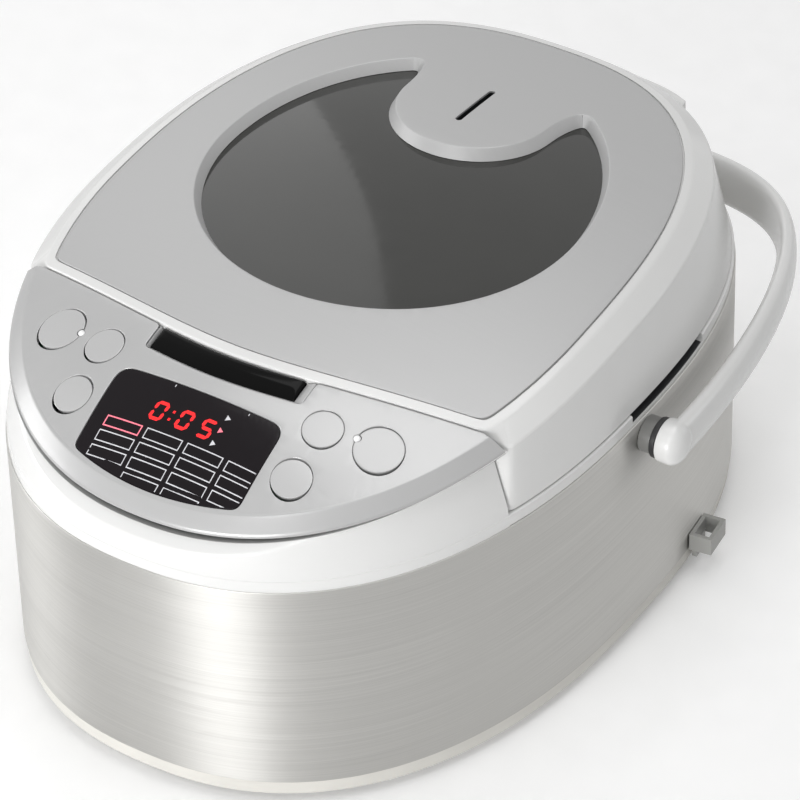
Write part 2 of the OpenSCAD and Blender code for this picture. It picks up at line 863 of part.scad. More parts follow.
// Solid within the lid's rear wall that closes the pocket of the hinge
module pocket_block() {
    top = notch_z + pocket_wall;
    intersection() {
        translate([-tower_half - 0.6 - pocket_wall, pocket_y - pocket_wall, lid_z - 10])
            cube([2 * (tower_half + 0.6 + pocket_wall), 60, 80]);
        bar_loft([
            [for (th = lid_angles) at_z(lid_point(inset(shoulder, -1), th, -1), top)],
            [for (th = lid_angles) at_z(lid_point(inset(wall_foot, 1), th, -1), lid_z + 0.5)]
        ]);
    }
}

module lid_cover() {
    color("whitesmoke")
    difference() {
        union() {
            difference() {
                union() {
                    ring_loft([for (i = [0 : len(lid_angles) - 1]) lid_section(i)]);
                    pocket_block();
                }
                // Pocket round the hinge tower
                translate([-tower_half - 0.6, pocket_y, lid_z - 1])
                    cube([2 * tower_half + 1.2, 60, notch_z - lid_z + 1]);
            }
            // Two hinge arms with their knuckles
            for (s = [-1, 1])
                translate([s * (arm_half - 5) - 5, 0, 0]) {
                    translate([0, hinge_y, hinge_z]) rotate([0, 90, 0]) cylinder(r = hinge_ear_r, h = 10);
                    translate([0, pocket_y - 1, hinge_z - 5]) cube([10, hinge_y - pocket_y + 1, 10]);
                }
        }
        translate([0, hinge_y, hinge_z]) rotate([0, 90, 0])
            cylinder(r = hinge_pin_r + run_fit, h = 2 * arm_half + 4, center = true);
        // Window for the latch hook
        translate([-hook_w / 2 - 2, lid_front - 2, hook_top - hook_h - 1.5])
            cube([hook_w + 4, 8, hook_h + 3]);
    }
}

function plate_ring(k) = [
    for (th = lid_angles)
    let (p = lid_point(inset(plate_edge, gap), th, plate_front * -1 + lid_front - gap))
    [p[0] * k, bowl_y + (p[1] - bowl_y) * k]
];

// How far the sloping edge of the tongue reaches out below the plate
tongue_slope = 2.5;

// Rounded tongue that reaches forwards over the window
module tongue(d = 0) {
    translate([0, tongue_y]) circle(r = tongue_r - d, $fn = 96);
    polygon([
        [-tongue_r + d, tongue_y], [tongue_r - d, tongue_y],
        [tongue_r + 4.5 - d, window_egg[2] - 12], [tongue_r + 4.5 - d, window_egg[2] + 12],
        [-tongue_r - 4.5 + d, window_egg[2] + 12], [-tongue_r - 4.5 + d, window_egg[2] - 12]
    ]);
}

module slot_outline(d = 0) {
    y = tongue_y - 0.5;
    for (s = [-1, 1])
        translate([0, y + s * (slot_l - slot_w) / 2]) circle(d = slot_w + 2 * d, $fn = 32);
    translate([-slot_w / 2 - d, y - (slot_l - slot_w) / 2]) square([slot_w + 2 * d, slot_l - slot_w]);
}

module lid_plate() {
    color("silver")
    difference() {
        domed_disc(lid_angles, [for (k = [0.3, 0.55, 0.75, 0.9, 1]) plate_ring(k)], 0, plate_t - 0.05);
        translate([0, 0, top_z - 60]) linear_extrude(100) difference() {
            egg(window_egg, 96);
            tongue(tongue_slope);
        }
        translate([0, 0, top_z - 60]) linear_extrude(100) slot_outline();
    }
}

round_angles = [for (i = [0 : 59]) i * 6];
tube_r = 24;

module lid_window() {
    rim = inset(window_egg, -5);
    rings = [for (k = [0.35, 0.65, 0.85, 1])
        [for (th = round_angles) let (r = leave(rim, th, 300) * k) round_point(r, th)]];
    color([0.3, 0.3, 0.3, 0.6])
    difference() {
        domed_disc(round_angles, rings, window_depth + 2 * gap, window_depth + 2 * gap + window_t);
        translate([0, tongue_y, top_z - 60]) cylinder(r = tube_r + 1, h = 100);
    }
}

liner_z = lid_z + 1;
liner_t = 3;

// Outline of the lid's wall a little above its foot, moved inwards by d
module lid_outline(d) {
    e = wall_foot + (shoulder - wall_foot) * 0.12;
    polygon([for (th = lid_angles) lid_point(inset(e, d), th, -d)]);
}

module lid_liner() {
    color("gainsboro")
    difference() {
        translate([0, 0, liner_z]) linear_extrude(liner_t) difference() {
            lid_outline(wall_t + gap);
            translate([0, bowl_y]) circle(r = inner_lid_r - 8, $fn = 96);
        }
        translate([-tower_half - 4, pocket_y - pocket_wall - gap, lid_z - 1])
            cube([2 * tower_half + 8, 60, 20]);
    }
}

// Catch plate inside the lid's front wall
module lid_striker() {
    color("silver")
    difference() {
        translate([-14, front_y(14) + wall_t + gap, liner_z + liner_t])
            cube([28, 2, hook_top + 3 - liner_z - liner_t]);
        translate([-hook_w / 2 - 2, lid_front, hook_top - hook_h - 1.5]) cube([hook_w + 4, 10, hook_h + 3]);
    }
}

inner_lid_t = 1.4;
inner_view_r = 72;

module inner_lid() {
    color("silver")
    translate([0, 0, liner_z - inner_lid_t])
    linear_extrude(inner_lid_t)
    difference() {
        translate([0, bowl_y]) circle(r = inner_lid_r, $fn = 96);
        difference() {
            translate([0, bowl_y]) circle(r = inner_view_r, $fn = 96);
            translate([0, tongue_y]) circle(r = tube_r + 4);
        }
        // Steam holes
        for (i = [-2 : 2])
            translate([i * 6, tongue_y]) circle(r = 1.6, $fn = 24);
    }
}

module inner_glass() {
    color([0.8, 0.85, 0.85, 0.4])
    translate([0, 0, liner_z])
    linear_extrude(liner_t)
    difference() {
        translate([0, bowl_y]) circle(r = inner_view_r + 6, $fn = 96);
        translate([0, tongue_y]) circle(r = tube_r + gap);
    }
}

module lid_gasket() {
    low = bowl_top + gap;
    high = liner_z - inner_lid_t;
    color("white")
    translate([0, bowl_y, 0])
    rotate_extrude($fn = 96) polygon([
        [inner_lid_r - 6, high], [inner_lid_r - 6, low + 0.8], [inner_lid_r + 1, low],
        [inner_lid_r + 4.5, low], [inner_lid_r + 4.5, low + 0.8], [inner_lid_r - 1, high]
    ]);
}

// Steam outlet under the tongue
module steam_valve() {
    base = liner_z + gap;
    head_low = dome_z(0, tongue_y - tongue_r) - window_depth;
    color("whitesmoke")
    difference() {
        intersection() {
            union() {
                translate([0, tongue_y, head_low])
                    cylinder(r1 = tongue_r, r2 = tongue_r - tongue_slope, h = window_depth - plate_t - gap);
                translate([0, tongue_y, base]) cylinder(r = tube_r, h = 80);
            }
            domed_disc(
                round_angles,
                [for (k = [0.5, 1])
                    [for (th = round_angles) round_point(leave(window_egg, th, 300) * k - 0.4, th)]],
                plate_t + gap, 62
            );
        }
        translate([0, tongue_y, base - 1]) cylinder(r = tube_r - 2, h = top_z - 8 - base);
        translate([0, 0, top_z - 30]) linear_extrude(60) slot_outline(0.5);
    }
}

// ---------- Hinge ----------

module hinge_tower() {
    round_r = 9.5;
    block_top = hinge_z - 10.5;
    rear = body_rear - 0.6;
    front = hinge_y - 7;
    color("whitesmoke")
    difference() {
        intersection() {
            union() {
                translate([-tower_half, front, rim_z])
                    cube([2 * tower_half, rear - front, block_top - rim_z]);
                for (s = [-1, 1])
                    translate([s * (tower_half + arm_half + gap) / 2, hinge_y, hinge_z]) rotate([90, 0, 90])
                        linear_extrude(tower_half - arm_half - gap, center = true) union() {
                            circle(r = round_r, $fn = 64);
                            polygon([
                                [-7, -20], [rear - hinge_y, -20], [rear - hinge_y, -8],
                                [round_r - 0.2, 0], [-round_r + 0.2, 0], [-round_r + 0.4, -8]
                            ]);
                        }
            }
            translate([0, 0, deck_z]) linear_extrude(80) egg(inset(shell, 0.6));
        }
        translate([0, hinge_y, hinge_z]) rotate([0, 90, 0])
            cylinder(r = hinge_pin_r + 0.02, h = 2 * (tower_half - 4), center = true);
    }
}

module hinge_pin() {
    color("silver")
    translate([0, hinge_y, hinge_z]) rotate([0, 90, 0])
        cylinder(r = hinge_pin_r, h = 2 * (tower_half - 5), center = true);
}

// Torsion spring round the pin, between the lid's arms
module hinge_spring() {
    color("gray")
    translate([-arm_half + 10 + gap, hinge_y, hinge_z]) rotate([0, 90, 0])
        coil(hinge_pin_r + 1.2, 0.9, 8, 2 * (arm_half - 10 - gap));
}

// ---------- Handle ----------

module handle_bosses() {
    color("gray")
    for (s = [-1, 1])
        translate([0, 0, pivot_z]) rotate([0, s * 90, 0]) difference() {
            union() {
                translate([0, 0, body_w / 2 + 0.1]) cylinder(r = boss_r, h = boss_x - body_w / 2 - 0.1);
                translate([0, 0, body_w / 2 - 4]) cylinder(r = pivot_pin_r + 2.2, h = 5);
            }
            translate([0, 0, body_w / 2 - 10]) cylinder(r = pivot_pin_r + 0.02, h = 40);
        }
}

module pivot_washers() {
    color("black")
    for (s = [-1, 1])
        translate([0, 0, pivot_z]) rotate([0, s * 90, 0]) difference() {
            translate([0, 0, boss_x + gap]) cylinder(r = boss_r + 1, h = washer_t);
            translate([0, 0, boss_x - 5]) cylinder(r = pivot_pin_r + 0.02, h = 40);
        }
}

module pivot_pins() {
    color("silver")
    for (s = [-1, 1])
        translate([0, 0, pivot_z]) rotate([0, s * 90, 0]) {
            translate([0, 0, body_w / 2 - 7]) cylinder(r = 6.5, h = 3);
            translate([0, 0, body_w / 2 - 5]) cylinder(r = pivot_pin_r, h = arm_x - body_w / 2 + 7);
        }
}

// Middle line of the handle in its own plane: x across and r away from the pivots
bail_reach = handle_reach - grip_t / 2;
function bail(t) = [arm_x * signed_power(cos(t), 0.4), bail_reach * pow(max(0, sin(t)), 1.2)];

bail_steps = 48;

// Sections run from the right pivot round the back to the left one
function bail_section(i) =
    let (t = i * 180 / bail_steps, p = bail(t))
    let (q0 = bail(max(0, t - 2)), q1 = bail(min(180, t + 2)), v = q1 - q0, u = v / norm(v))
    let (n = [u[1], -u[0]])
    let (k = pow(sin(t), 3), across = arm_t + (grip_t - arm_t) * k, tall = arm_d + (grip_w - arm_d) * k)
    let (a = -handle_droop)
    [for (j = [0 : 15])
        let (c = signed_power(cos(j * 22.5), 0.9), s = signed_power(sin(j * 22.5), 0.9))
        let (w = c * across / 2, h = s * tall / 2)
        let (x = p[0] + n[0] * w, r = p[1] + n[1] * w)
        [x, r * cos(a) - h * sin(a), pivot_z + r * sin(a) + h * cos(a)]];

// Button-shaped end of an arm: a short cylinder with a domed outer face
module arm_end() {
    r = arm_d / 2 + 0.3;
    dome = arm_t / 2 + 1.5;
    rotate_extrude()
        polygon(concat(
            [[0, arm_inner], [r - 1, arm_inner], [r, arm_inner + 1]],
            [for (a = [0 : 10 : 90]) [r * cos(a), arm_x + dome * sin(a)]]));
}

module carry_handle() {
    color("whitesmoke")
    difference() {
        union() {
            bar_loft([for (i = [0 : bail_steps]) bail_section(i)]);
            for (s = [-1, 1])
                translate([0, 0, pivot_z]) rotate([0, s * 90, 0]) arm_end();
        }
        for (s = [-1, 1])
            translate([0, 0, pivot_z]) rotate([0, s * 90, 0])
                translate([0, 0, body_w / 2]) cylinder(r = pivot_pin_r + run_fit, h = arm_x - body_w / 2 + 3);
        // Flat inner faces at the pivots
        for (s = [-1, 1])
            translate([s * (arm_inner - 15), 0, pivot_z]) cube([30, arm_d + 2, arm_d + 20], center = true);
    }
}

// ---------- Spoon holder ----------

holder_y = 49.5;
holder_x = egg_half(shell, holder_y);
holder_turn = atan((egg_half(shell, holder_y + 2) - egg_half(shell, holder_y - 2)) / 4);

module spoon_holder() {
    wall = 2;
    z = steel_z + gap;
    color("silver")
    translate([holder_x, holder_y, 0]) rotate(-holder_turn) {
        difference() {
            translate([gap + 0.2, -holder_w / 2, z]) cube([holder_l, holder_w, holder_h]);
            translate([gap + 0.2 + wall, -holder_w / 2 + wall, z - 1])
                cube([holder_l - 2 * wall, holder_w - 2 * wall, holder_h + 2]);
        }
        translate([gap + 0.2, -5, foot_h + 2]) cube([2.5, 10, z + 3 - foot_h - 2]);
    }
}

rubber_feet();
base_tray();
base_screws();
steel_shell();
top_collar();
bowl_deck();
inner_chamber();
heating_plate();
sensor_plunger();
sensor_spring();
cooking_bowl();
power_board();
inlet_socket();
control_fascia();
control_board();
display_window();
display_module();
start_button();
delay_button();
hours_button();
minutes_button();
temperature_button();
menu_button();
indicator_lights();
release_bar();
release_spring();
latch_hook();
latch_guide();
hinge_tower();
hinge_pin();
hinge_spring();
lid_cover();
lid_plate();
lid_window();
lid_liner();
lid_striker();
inner_lid();
inner_glass();
lid_gasket();
steam_valve();
handle_bosses();
pivot_washers();
pivot_pins();
carry_handle();
spoon_holder();
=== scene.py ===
# %% [markdown]
# # A countertop multicooker, finished in Blender
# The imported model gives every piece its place, its size and the body it moves with.
# This lesson rebuilds the pieces that the eye lands on with smoother surfaces and rounded
# edges, gives the rest softened edges, and paints each with its own finish.
# Everything is in metres, but the shapes are worked out in millimetres and scaled once.

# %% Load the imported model
import json
import math
import bmesh
import bpy
from mathutils import Matrix, Vector


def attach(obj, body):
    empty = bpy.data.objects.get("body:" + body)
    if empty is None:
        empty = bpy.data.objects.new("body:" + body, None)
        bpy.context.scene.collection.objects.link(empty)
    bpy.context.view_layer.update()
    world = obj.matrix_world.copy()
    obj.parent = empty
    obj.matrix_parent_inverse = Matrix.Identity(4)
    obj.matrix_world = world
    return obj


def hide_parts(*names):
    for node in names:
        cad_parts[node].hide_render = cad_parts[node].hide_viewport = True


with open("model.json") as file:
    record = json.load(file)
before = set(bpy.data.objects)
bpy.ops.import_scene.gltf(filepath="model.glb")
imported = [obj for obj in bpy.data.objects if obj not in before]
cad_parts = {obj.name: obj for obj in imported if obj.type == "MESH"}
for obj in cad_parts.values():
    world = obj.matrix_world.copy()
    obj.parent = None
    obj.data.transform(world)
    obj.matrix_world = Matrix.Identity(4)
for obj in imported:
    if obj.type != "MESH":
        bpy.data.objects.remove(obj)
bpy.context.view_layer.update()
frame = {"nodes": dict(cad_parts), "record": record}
MM = 0.001
print("nodes in the packed model:", len(frame["nodes"]))

# %% [markdown]
# ## The outlines
# Seen from above, the shell, the shoulder and the lip are all egg shapes: a wide curve at
# the front and another at the rear that meet at the widest place. Writing the egg once as
# a function, and moving it in or out by a distance, keeps every seam parallel.

# %% Egg outlines
SHELL = (136, -201, 176, -9.5, 2.3, 2.6)
LIP = (125, -184, 154, -27.7, 2.2, 2.5)
SHOULDER = (134, -193, 163, -27.7, 2.2, 2.5)


def signed_power(value, power):
    return math.copysign(abs(value) ** power, value)


def inset(egg, d):
    return (egg[0] - d, egg[1] + d, egg[2] - d, egg[3], egg[4], egg[5])


def egg_point(egg, turn):
    c, s = math.cos(turn), math.sin(turn)
    power = egg[4] if s < 0 else egg[5]
    reach = egg[3] - egg[1] if s < 0 else egg[2] - egg[3]
    return (egg[0] * signed_power(c, 2 / power), egg[3] + reach * signed_power(s, 2 / power))


def egg_half(egg, y):
    power = egg[4] if y < egg[3] else egg[5]
    reach = egg[3] - egg[1] if y < egg[3] else egg[2] - egg[3]
    left = 1 - min(1, abs(y - egg[3]) / reach) ** power
    return egg[0] * max(0, left) ** (1 / power)


def egg_loop(egg, count=240):
    return [egg_point(egg, (k + 0.5) * math.tau / count) for k in range(count)]


print("shell:", 2 * SHELL[0], "mm wide and", SHELL[2] - SHELL[1], "mm long")

# %% [markdown]
# ## The domed top
# The lid and the control panel are parts of one dome. Its edge falls towards the front and
# a crown rises in the middle, so any piece on top can ask this function for its height.

# %% Height of the dome
LID_FRONT = -119
WINDOW_Y = 9.5


def edge_z(y):
    return 178.4 - 30 * (abs(75.5 - y) / 260) ** 2.4


def dome_z(x, y):
    front = max(0, (-92.5 - y) / 91.5)
    rear = max(0, (y + 27.7) / 181.7)
    crown = 14 * (1 - min(1, front) ** 2.5) * (1 - min(1, rear) ** 2.5)
    half = max(1, egg_half(LIP, y))
    return edge_z(y) + crown * (1 - min(1, abs(x) / half) ** 2)


def front_y(x, d=0):
    return LID_FRONT - d + 0.28 * (math.sqrt(x * x + 2500) - 50)


print("top of the dome:", round(dome_z(0, 75), 1), "mm")

# %% [markdown]
# ## Rays from the window's centre
# The lid ends in a bowed front edge that cuts the egg short. A ray from the window's centre
# finds where it leaves the egg or crosses the front edge, and a soft minimum of the two
# rounds the lid's front corners as a mould would.

# %% Points on the lid's outline
def ray_length(holds, a):
    low, high = 0, 260
    for _ in range(26):
        middle = (low + high) / 2
        inside = holds(middle * math.cos(a), WINDOW_Y + middle * math.sin(a))
        low, high = (middle, high) if inside else (low, middle)
    return low


def lid_point(egg, a, d, softness=110):
    side = ray_length(lambda x, y: abs(x) < egg_half(egg, y), a)
    front = ray_length(lambda x, y: y > front_y(x, d), a)
    r = (side ** -softness + front ** -softness) ** (-1 / softness)
    return (r * math.cos(a), WINDOW_Y + r * math.sin(a))


CORNER = math.atan2(egg_half(SHOULDER, -96), WINDOW_Y + 96)
LID_TURNS = sorted(
    [k * math.tau / 180 for k in range(180)]
    + [(s * CORNER - math.pi / 2 + k * 0.006) % math.tau for s in (-1, 1) for k in range(-12, 13)]
)


def lid_loop(egg, d, softness=110):
    return [lid_point(egg, a, d, softness) for a in LID_TURNS]


def on_dome(points, d=0):
    return [(x, y, dome_z(x, y) - d) for x, y in points]


def at_z(points, z):
    return [(x, y, z) for x, y in points]


print("sections round the lid:", len(LID_TURNS))

# %% [markdown]
# ## Lofting with extrusion
# Most shells here are one loop of points carried through many positions. A circle of edges
# is extruded again and again, and each new loop is moved to its own points. Lines along
# the loft can then be bevelled, so that no moulded edge stays knife sharp.

# %% The loft helper
def loop_of(bm, points):
    made = bmesh.ops.create_circle(bm, segments=len(points), radius=1)["verts"]
    for vert, point in zip(made, points):
        vert.co = point
    return made


def ring_edges(bm, verts):
    return [bm.edges.get(pair) for pair in zip(verts, verts[1:] + verts[:1])]


def next_loop(bm, verts, points):
    made = bmesh.ops.extrude_edge_only(bm, edges=ring_edges(bm, verts))["geom"]
    fresh = {v for v in made if isinstance(v, bmesh.types.BMVert)}
    moved = [next(e.other_vert(vert) for e in vert.link_edges if e.other_vert(vert) in fresh)
             for vert in verts]
    for new, point in zip(moved, points):
        new.co = point
    return moved


def loft(bm, sections, ring=False, rounded=None):
    loops = [loop_of(bm, sections[0])]
    for points in sections[1:]:
        loops.append(next_loop(bm, loops[-1], points))
    ends = [ring_edges(bm, verts) for verts in (loops[0], loops[-1])]
    if ring:
        bmesh.ops.bridge_loops(bm, edges=ends[0] + ends[1])
    else:
        for edges in ends:
            bmesh.ops.edgeloop_fill(bm, edges=edges)
    bmesh.ops.recalc_face_normals(bm, faces=bm.faces[:])
    pairs = list(zip(loops, loops[1:] + (loops[:1] if ring else [])))
    for line, radius in (rounded or {}).items():
        edges = [bm.edges.get((a[line], b[line])) for a, b in pairs if a[line].is_valid]
        edges = [e for e in edges if e]
        bmesh.ops.bevel(bm, geom=edges, offset=radius, segments=3, profile=0.5,
                        affect="EDGES", material=-1, clamp_overlap=True)
    return loops


print("loft helper ready")

# %% [markdown]
# ## Finishing a piece
# Every piece ends the same way: it is scaled to metres, its normals point outwards, its
# faces shade smoothly except across real corners, and it is handed to the body it moves
# with. A weighted normal keeps broad faces flat beside narrow bevels.

# %% The finishing helper
CORNER_ANGLE = math.radians(38)


def shade(bm):
    for face in bm.faces:
        face.smooth = True
    for edge in bm.edges:
        edge.smooth = edge.calc_face_angle(0) < CORNER_ANGLE


def placed(name, data):
    item = bpy.data.objects.new(name, data)
    bpy.context.scene.collection.objects.link(item)
    return item


def to_object(name, bm, scale=MM):
    bmesh.ops.recalc_face_normals(bm, faces=bm.faces[:])
    shade(bm)
    if scale != 1:
        bmesh.ops.scale(bm, vec=(scale, scale, scale), verts=bm.verts[:])
    mesh = bpy.data.meshes.new(name)
    bm.to_mesh(mesh)
    bm.free()
    return placed(name, mesh)


def finish_piece(piece, finish, body, nodes=(), even=False):
    piece.data.materials.clear()
    piece.data.materials.append(finish)
    if even:
        shading = piece.modifiers.new("even_shading", "WEIGHTED_NORMAL")
        shading.keep_sharp = True
    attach(piece, body)
    if nodes:
        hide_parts(*nodes)
    print(piece.name, len(piece.data.polygons), "faces")
    return piece


def carve(piece, tool, kind="DIFFERENCE"):
    cut = piece.modifiers.new("carve", "BOOLEAN")
    cut.operation = kind
    cut.solver = "EXACT"
    cut.object = tool
    cut.use_self = False
    graph = bpy.context.evaluated_depsgraph_get()
    done = bpy.data.meshes.new_from_object(piece.evaluated_get(graph))
    piece.modifiers.clear()
    old = piece.data
    piece.data = done
    bpy.data.meshes.remove(old)
    bpy.data.objects.remove(tool)
    return piece


def reshade(piece):
    bm = bmesh.new()
    bm.from_mesh(piece.data)
    bmesh.ops.remove_doubles(bm, verts=bm.verts[:], dist=1e-6)
    shade(bm)
    bm.to_mesh(piece.data)
    bm.free()
    return piece


def in_millimetres(mesh):
    bm = bmesh.new()
    bm.from_mesh(mesh)
    bmesh.ops.scale(bm, vec=(1000, 1000, 1000), verts=bm.verts[:])
    return bm


def merge_part(bm, part, place):
    bmesh.ops.transform(part, matrix=place, verts=part.verts[:])
    mesh = bpy.data.meshes.new("part")
    part.to_mesh(mesh)
    bm.from_mesh(mesh)
    bpy.data.meshes.remove(mesh)
    part.free()


def cylinder(bm, radius, depth, place, segments=48):
    bmesh.ops.create_cone(bm, cap_ends=True, segments=segments, radius1=radius, radius2=radius,
                          depth=depth, matrix=place)


def along_x(x, y, z):
    return Matrix.Translation((x, y, z)) @ Matrix.Rotation(math.pi / 2, 4, "Y")


print("finishing helpers ready")

# %% [markdown]
# ## Finishes
# Each finish is a small recipe: a base colour that wanders a little, a roughness that
# follows a fine grain, and a bump for the texture of the mould or the brush. The patterns
# read object coordinates, so they stay put when a lid or a handle turns.

# %% Node helper and moulded plastic
def srgb(*code):
    parts = [c / 255 for c in code]
    return [p / 12.92 if p <= 0.04045 else ((p + 0.055) / 1.055) ** 2.4 for p in parts] + [1]


def add_node(tree, kind, **values):
    node = tree.nodes.new(kind)
    for key, value in values.items():
        if key in node.inputs:
            node.inputs[key].default_value = value
        else:
            setattr(node, key, value)
    return node


def finish_base(name, stretch=(1, 1, 1)):
    material = bpy.data.materials.new(name)
    material.use_nodes = True
    tree = material.node_tree
    tree.nodes.clear()
    out = tree.nodes.new("ShaderNodeOutputMaterial")
    shader = tree.nodes.new("ShaderNodeBsdfPrincipled")
    tree.links.new(shader.outputs[0], out.inputs[0])
    where = tree.nodes.new("ShaderNodeTexCoord")
    place = tree.nodes.new("ShaderNodeMapping")
    place.inputs["Scale"].default_value = stretch
    tree.links.new(where.outputs["Object"], place.inputs[0])
    return material, tree, shader, place


def noise(tree, place, scale, detail=3, rough=0.5):
    node = add_node(tree, "ShaderNodeTexNoise", Scale=scale, Detail=detail, Roughness=rough)
    tree.links.new(place.outputs[0], node.inputs["Vector"])
    return node


def spread(tree, source, low, high):
    node = add_node(tree, "ShaderNodeMapRange")
    for k, value in enumerate((0.3, 0.7, low, high), 1):
        node.inputs[k].default_value = value
    tree.links.new(source, node.inputs[0])
    return node.outputs[0]


def two_tone(tree, source, first, second):
    node = tree.nodes.new("ShaderNodeMix")
    node.data_type = "RGBA"
    node.inputs[6].default_value = first
    node.inputs[7].default_value = second
    tree.links.new(source, node.inputs[0])
    return node.outputs[2]


def bumped(tree, shader, height, strength, depth):
    node = add_node(tree, "ShaderNodeBump", Strength=strength, Distance=depth)
    tree.links.new(height, node.inputs["Height"])
    tree.links.new(node.outputs[0], shader.inputs["Normal"])


def tint(colour, k):
    return [min(1, c * k) for c in colour[:3]] + [1]


def tune(shader, **values):
    for key, value in values.items():
        shader.inputs[key.replace("_", " ")].default_value = value


def coloured(tree, shader, source, colour, wander):
    tone = two_tone(tree, spread(tree, source, 0, 1),
                    tint(colour, 1 - wander), tint(colour, 1 + wander))
    tree.links.new(tone, shader.inputs["Base Color"])
    return tone


def grained(tree, shader, source, rough, vary, relief, depth):
    tree.links.new(spread(tree, source, rough - vary, rough + vary), shader.inputs["Roughness"])
    bumped(tree, shader, source, relief, depth)


def moulded(name, colour, rough=0.3, grain=900, relief=0.04, wander=0.04, metallic=0.0,
            coat=0.0, vary=0.05, **extra):
    material, tree, shader, place = finish_base(name)
    coloured(tree, shader, noise(tree, place, 35, 4).outputs["Fac"], colour, wander)
    fine = noise(tree, place, grain, 2)
    grained(tree, shader, fine.outputs["Fac"], rough, vary, relief, 0.0002)
    tune(shader, Metallic=metallic, Coat_Weight=coat, Coat_Roughness=0.12, **extra)
    return material


body_white = moulded("body_white_plastic", srgb(222, 222, 221), rough=0.24, grain=1400,
                     relief=0.006, wander=0.010, coat=0.25, vary=0.025)
base_grey = moulded("base_ring_plastic", srgb(214, 212, 206), rough=0.42, grain=1800, relief=0.10)
deck_grey = moulded("deck_plastic", srgb(205, 205, 203), rough=0.38, grain=1500, relief=0.06)
dark_plastic = moulded("dark_plastic", srgb(42, 43, 45), rough=0.45, grain=1600, relief=0.12)
boss_grey = moulded("boss_plastic", srgb(118, 118, 116), rough=0.34, grain=1500, relief=0.03)
holder_grey = moulded("holder_plastic", srgb(164, 164, 161), rough=0.34, grain=1500, relief=0.03)
rubber = moulded("foot_rubber", srgb(34, 34, 34), rough=0.78, grain=2600, relief=0.35, wander=0.1)
washer_black = moulded("washer_plastic", srgb(30, 30, 31), rough=0.5, grain=2000, relief=0.1)
board_green = moulded("board_lacquer", srgb(38, 92, 62), rough=0.35, grain=700, relief=0.1,
                      wander=0.15)
silicone = moulded("silicone", srgb(228, 228, 222), rough=0.55, grain=1200, relief=0.08,
                   Subsurface_Weight=0.1)
print("plastics ready")

# %% [markdown]
# ## Metals
# Brushed steel is drawn by stretching noise: long and smooth along the brush, short across
# it. The shell is brushed round the body, so the pattern changes quickly only with height.

# %% Brushed and spun metals
def brushed(name, colour, rough, stretch, relief=0.12, anisotropic=0.0, wander=0.05, metallic=1.0):
    material, tree, shader, place = finish_base(name, stretch)
    lines = noise(tree, place, 1.0, 5, 0.62).outputs["Fac"]
    coloured(tree, shader, lines, colour, wander)
    grained(tree, shader, lines, rough, 0.07, relief, 0.00005)
    tune(shader, Metallic=metallic)
    if anisotropic:
        tune(shader, Anisotropic=anisotropic, Anisotropic_Rotation=0.25)
        tangent = add_node(tree, "ShaderNodeTangent", direction_type="RADIAL", axis="Z")
        tree.links.new(tangent.outputs[0], shader.inputs["Tangent"])
    return material


shell_steel = brushed("brushed_shell_steel", srgb(194, 193, 190), 0.5, (9, 9, 2100),
                      anisotropic=0.8, wander=0.1, relief=0.4)
plate_metal = brushed("brushed_lid_plate", srgb(177, 177, 177), 0.46, (10, 1800, 40),
                      relief=0.03, metallic=0.25, wander=0.02)
bare_steel = brushed("plain_steel", srgb(190, 190, 188), 0.28, (300, 300, 300), relief=0.08)
chamber_metal = brushed("chamber_aluminium", srgb(176, 178, 180), 0.42, (60, 60, 900), relief=0.1)
inner_lid_metal = brushed("inner_lid_steel", srgb(200, 200, 198), 0.24, (20, 1500, 200),
                          relief=0.05)
heater_metal = brushed("heating_plate_aluminium", srgb(168, 170, 172), 0.46, (500, 500, 500))
print("metals ready")

# %% [markdown]
# Paint, gloss and glass use the moulded recipe with a grain of their own. The marks on the
# display glow weakly.

# %% Panel paint, black gloss, glass and lights
panel_silver = moulded("panel_silver_paint", srgb(176, 176, 176), rough=0.34, grain=5200,
                       relief=0.02, wander=0.015, metallic=0.3, coat=0.2, vary=0.03)
button_silver = moulded("button_silver_paint", srgb(182, 182, 182), rough=0.34, grain=5200,
                        relief=0.02, wander=0.015, metallic=0.2, coat=0.2, vary=0.03)
gloss_black = moulded("gloss_black", srgb(4, 4, 4), rough=0.10, grain=120, relief=0.0,
                      wander=0.15, vary=0.02, Specular_IOR_Level=0.1)
display_glass = moulded("display_black", srgb(24, 20, 23), rough=0.18, grain=220, relief=0.0,
                        wander=0.06, vary=0.03, Specular_IOR_Level=0.12)
smoked_glass = moulded("smoked_glass", srgb(52, 52, 49), rough=0.07, grain=90, relief=0.008,
                       wander=0.06, vary=0.02, Transmission_Weight=0.25, IOR=1.5)
clear_glass = moulded("clear_glass", srgb(235, 240, 240), rough=0.05, grain=200, relief=0.01,
                      vary=0.02, Transmission_Weight=0.92, IOR=1.47)
light_pipe = moulded("light_pipe", srgb(246, 246, 246), rough=0.22, grain=900, relief=0.02,
                     vary=0.04)
bowl_coating = moulded("bowl_coating", srgb(58, 58, 60), rough=0.34, grain=6500, relief=0.10,
                       wander=0.25, metallic=0.2)


def glowing(name, colour, strength):
    material, tree, shader, place = finish_base(name)
    tone = coloured(tree, shader, noise(tree, place, 700, 2).outputs["Fac"], colour, 0.1)
    tree.links.new(tone, shader.inputs["Emission Color"])
    tune(shader, Emission_Strength=strength, Roughness=0.5)
    return material


digit_red = glowing("digit_red", srgb(226, 22, 26), 0.75)
frame_white = glowing("frame_white", srgb(196, 196, 200), 0.25)
frame_pink = glowing("frame_pink", srgb(226, 116, 132), 0.5)
print("materials:", len(bpy.data.materials))

# %% [markdown]
# ## The camera
# The camera stands in front and to the right, well above the lid, with a long lens that
# keeps the body's sides nearly parallel. Its three axes are written out as a matrix.

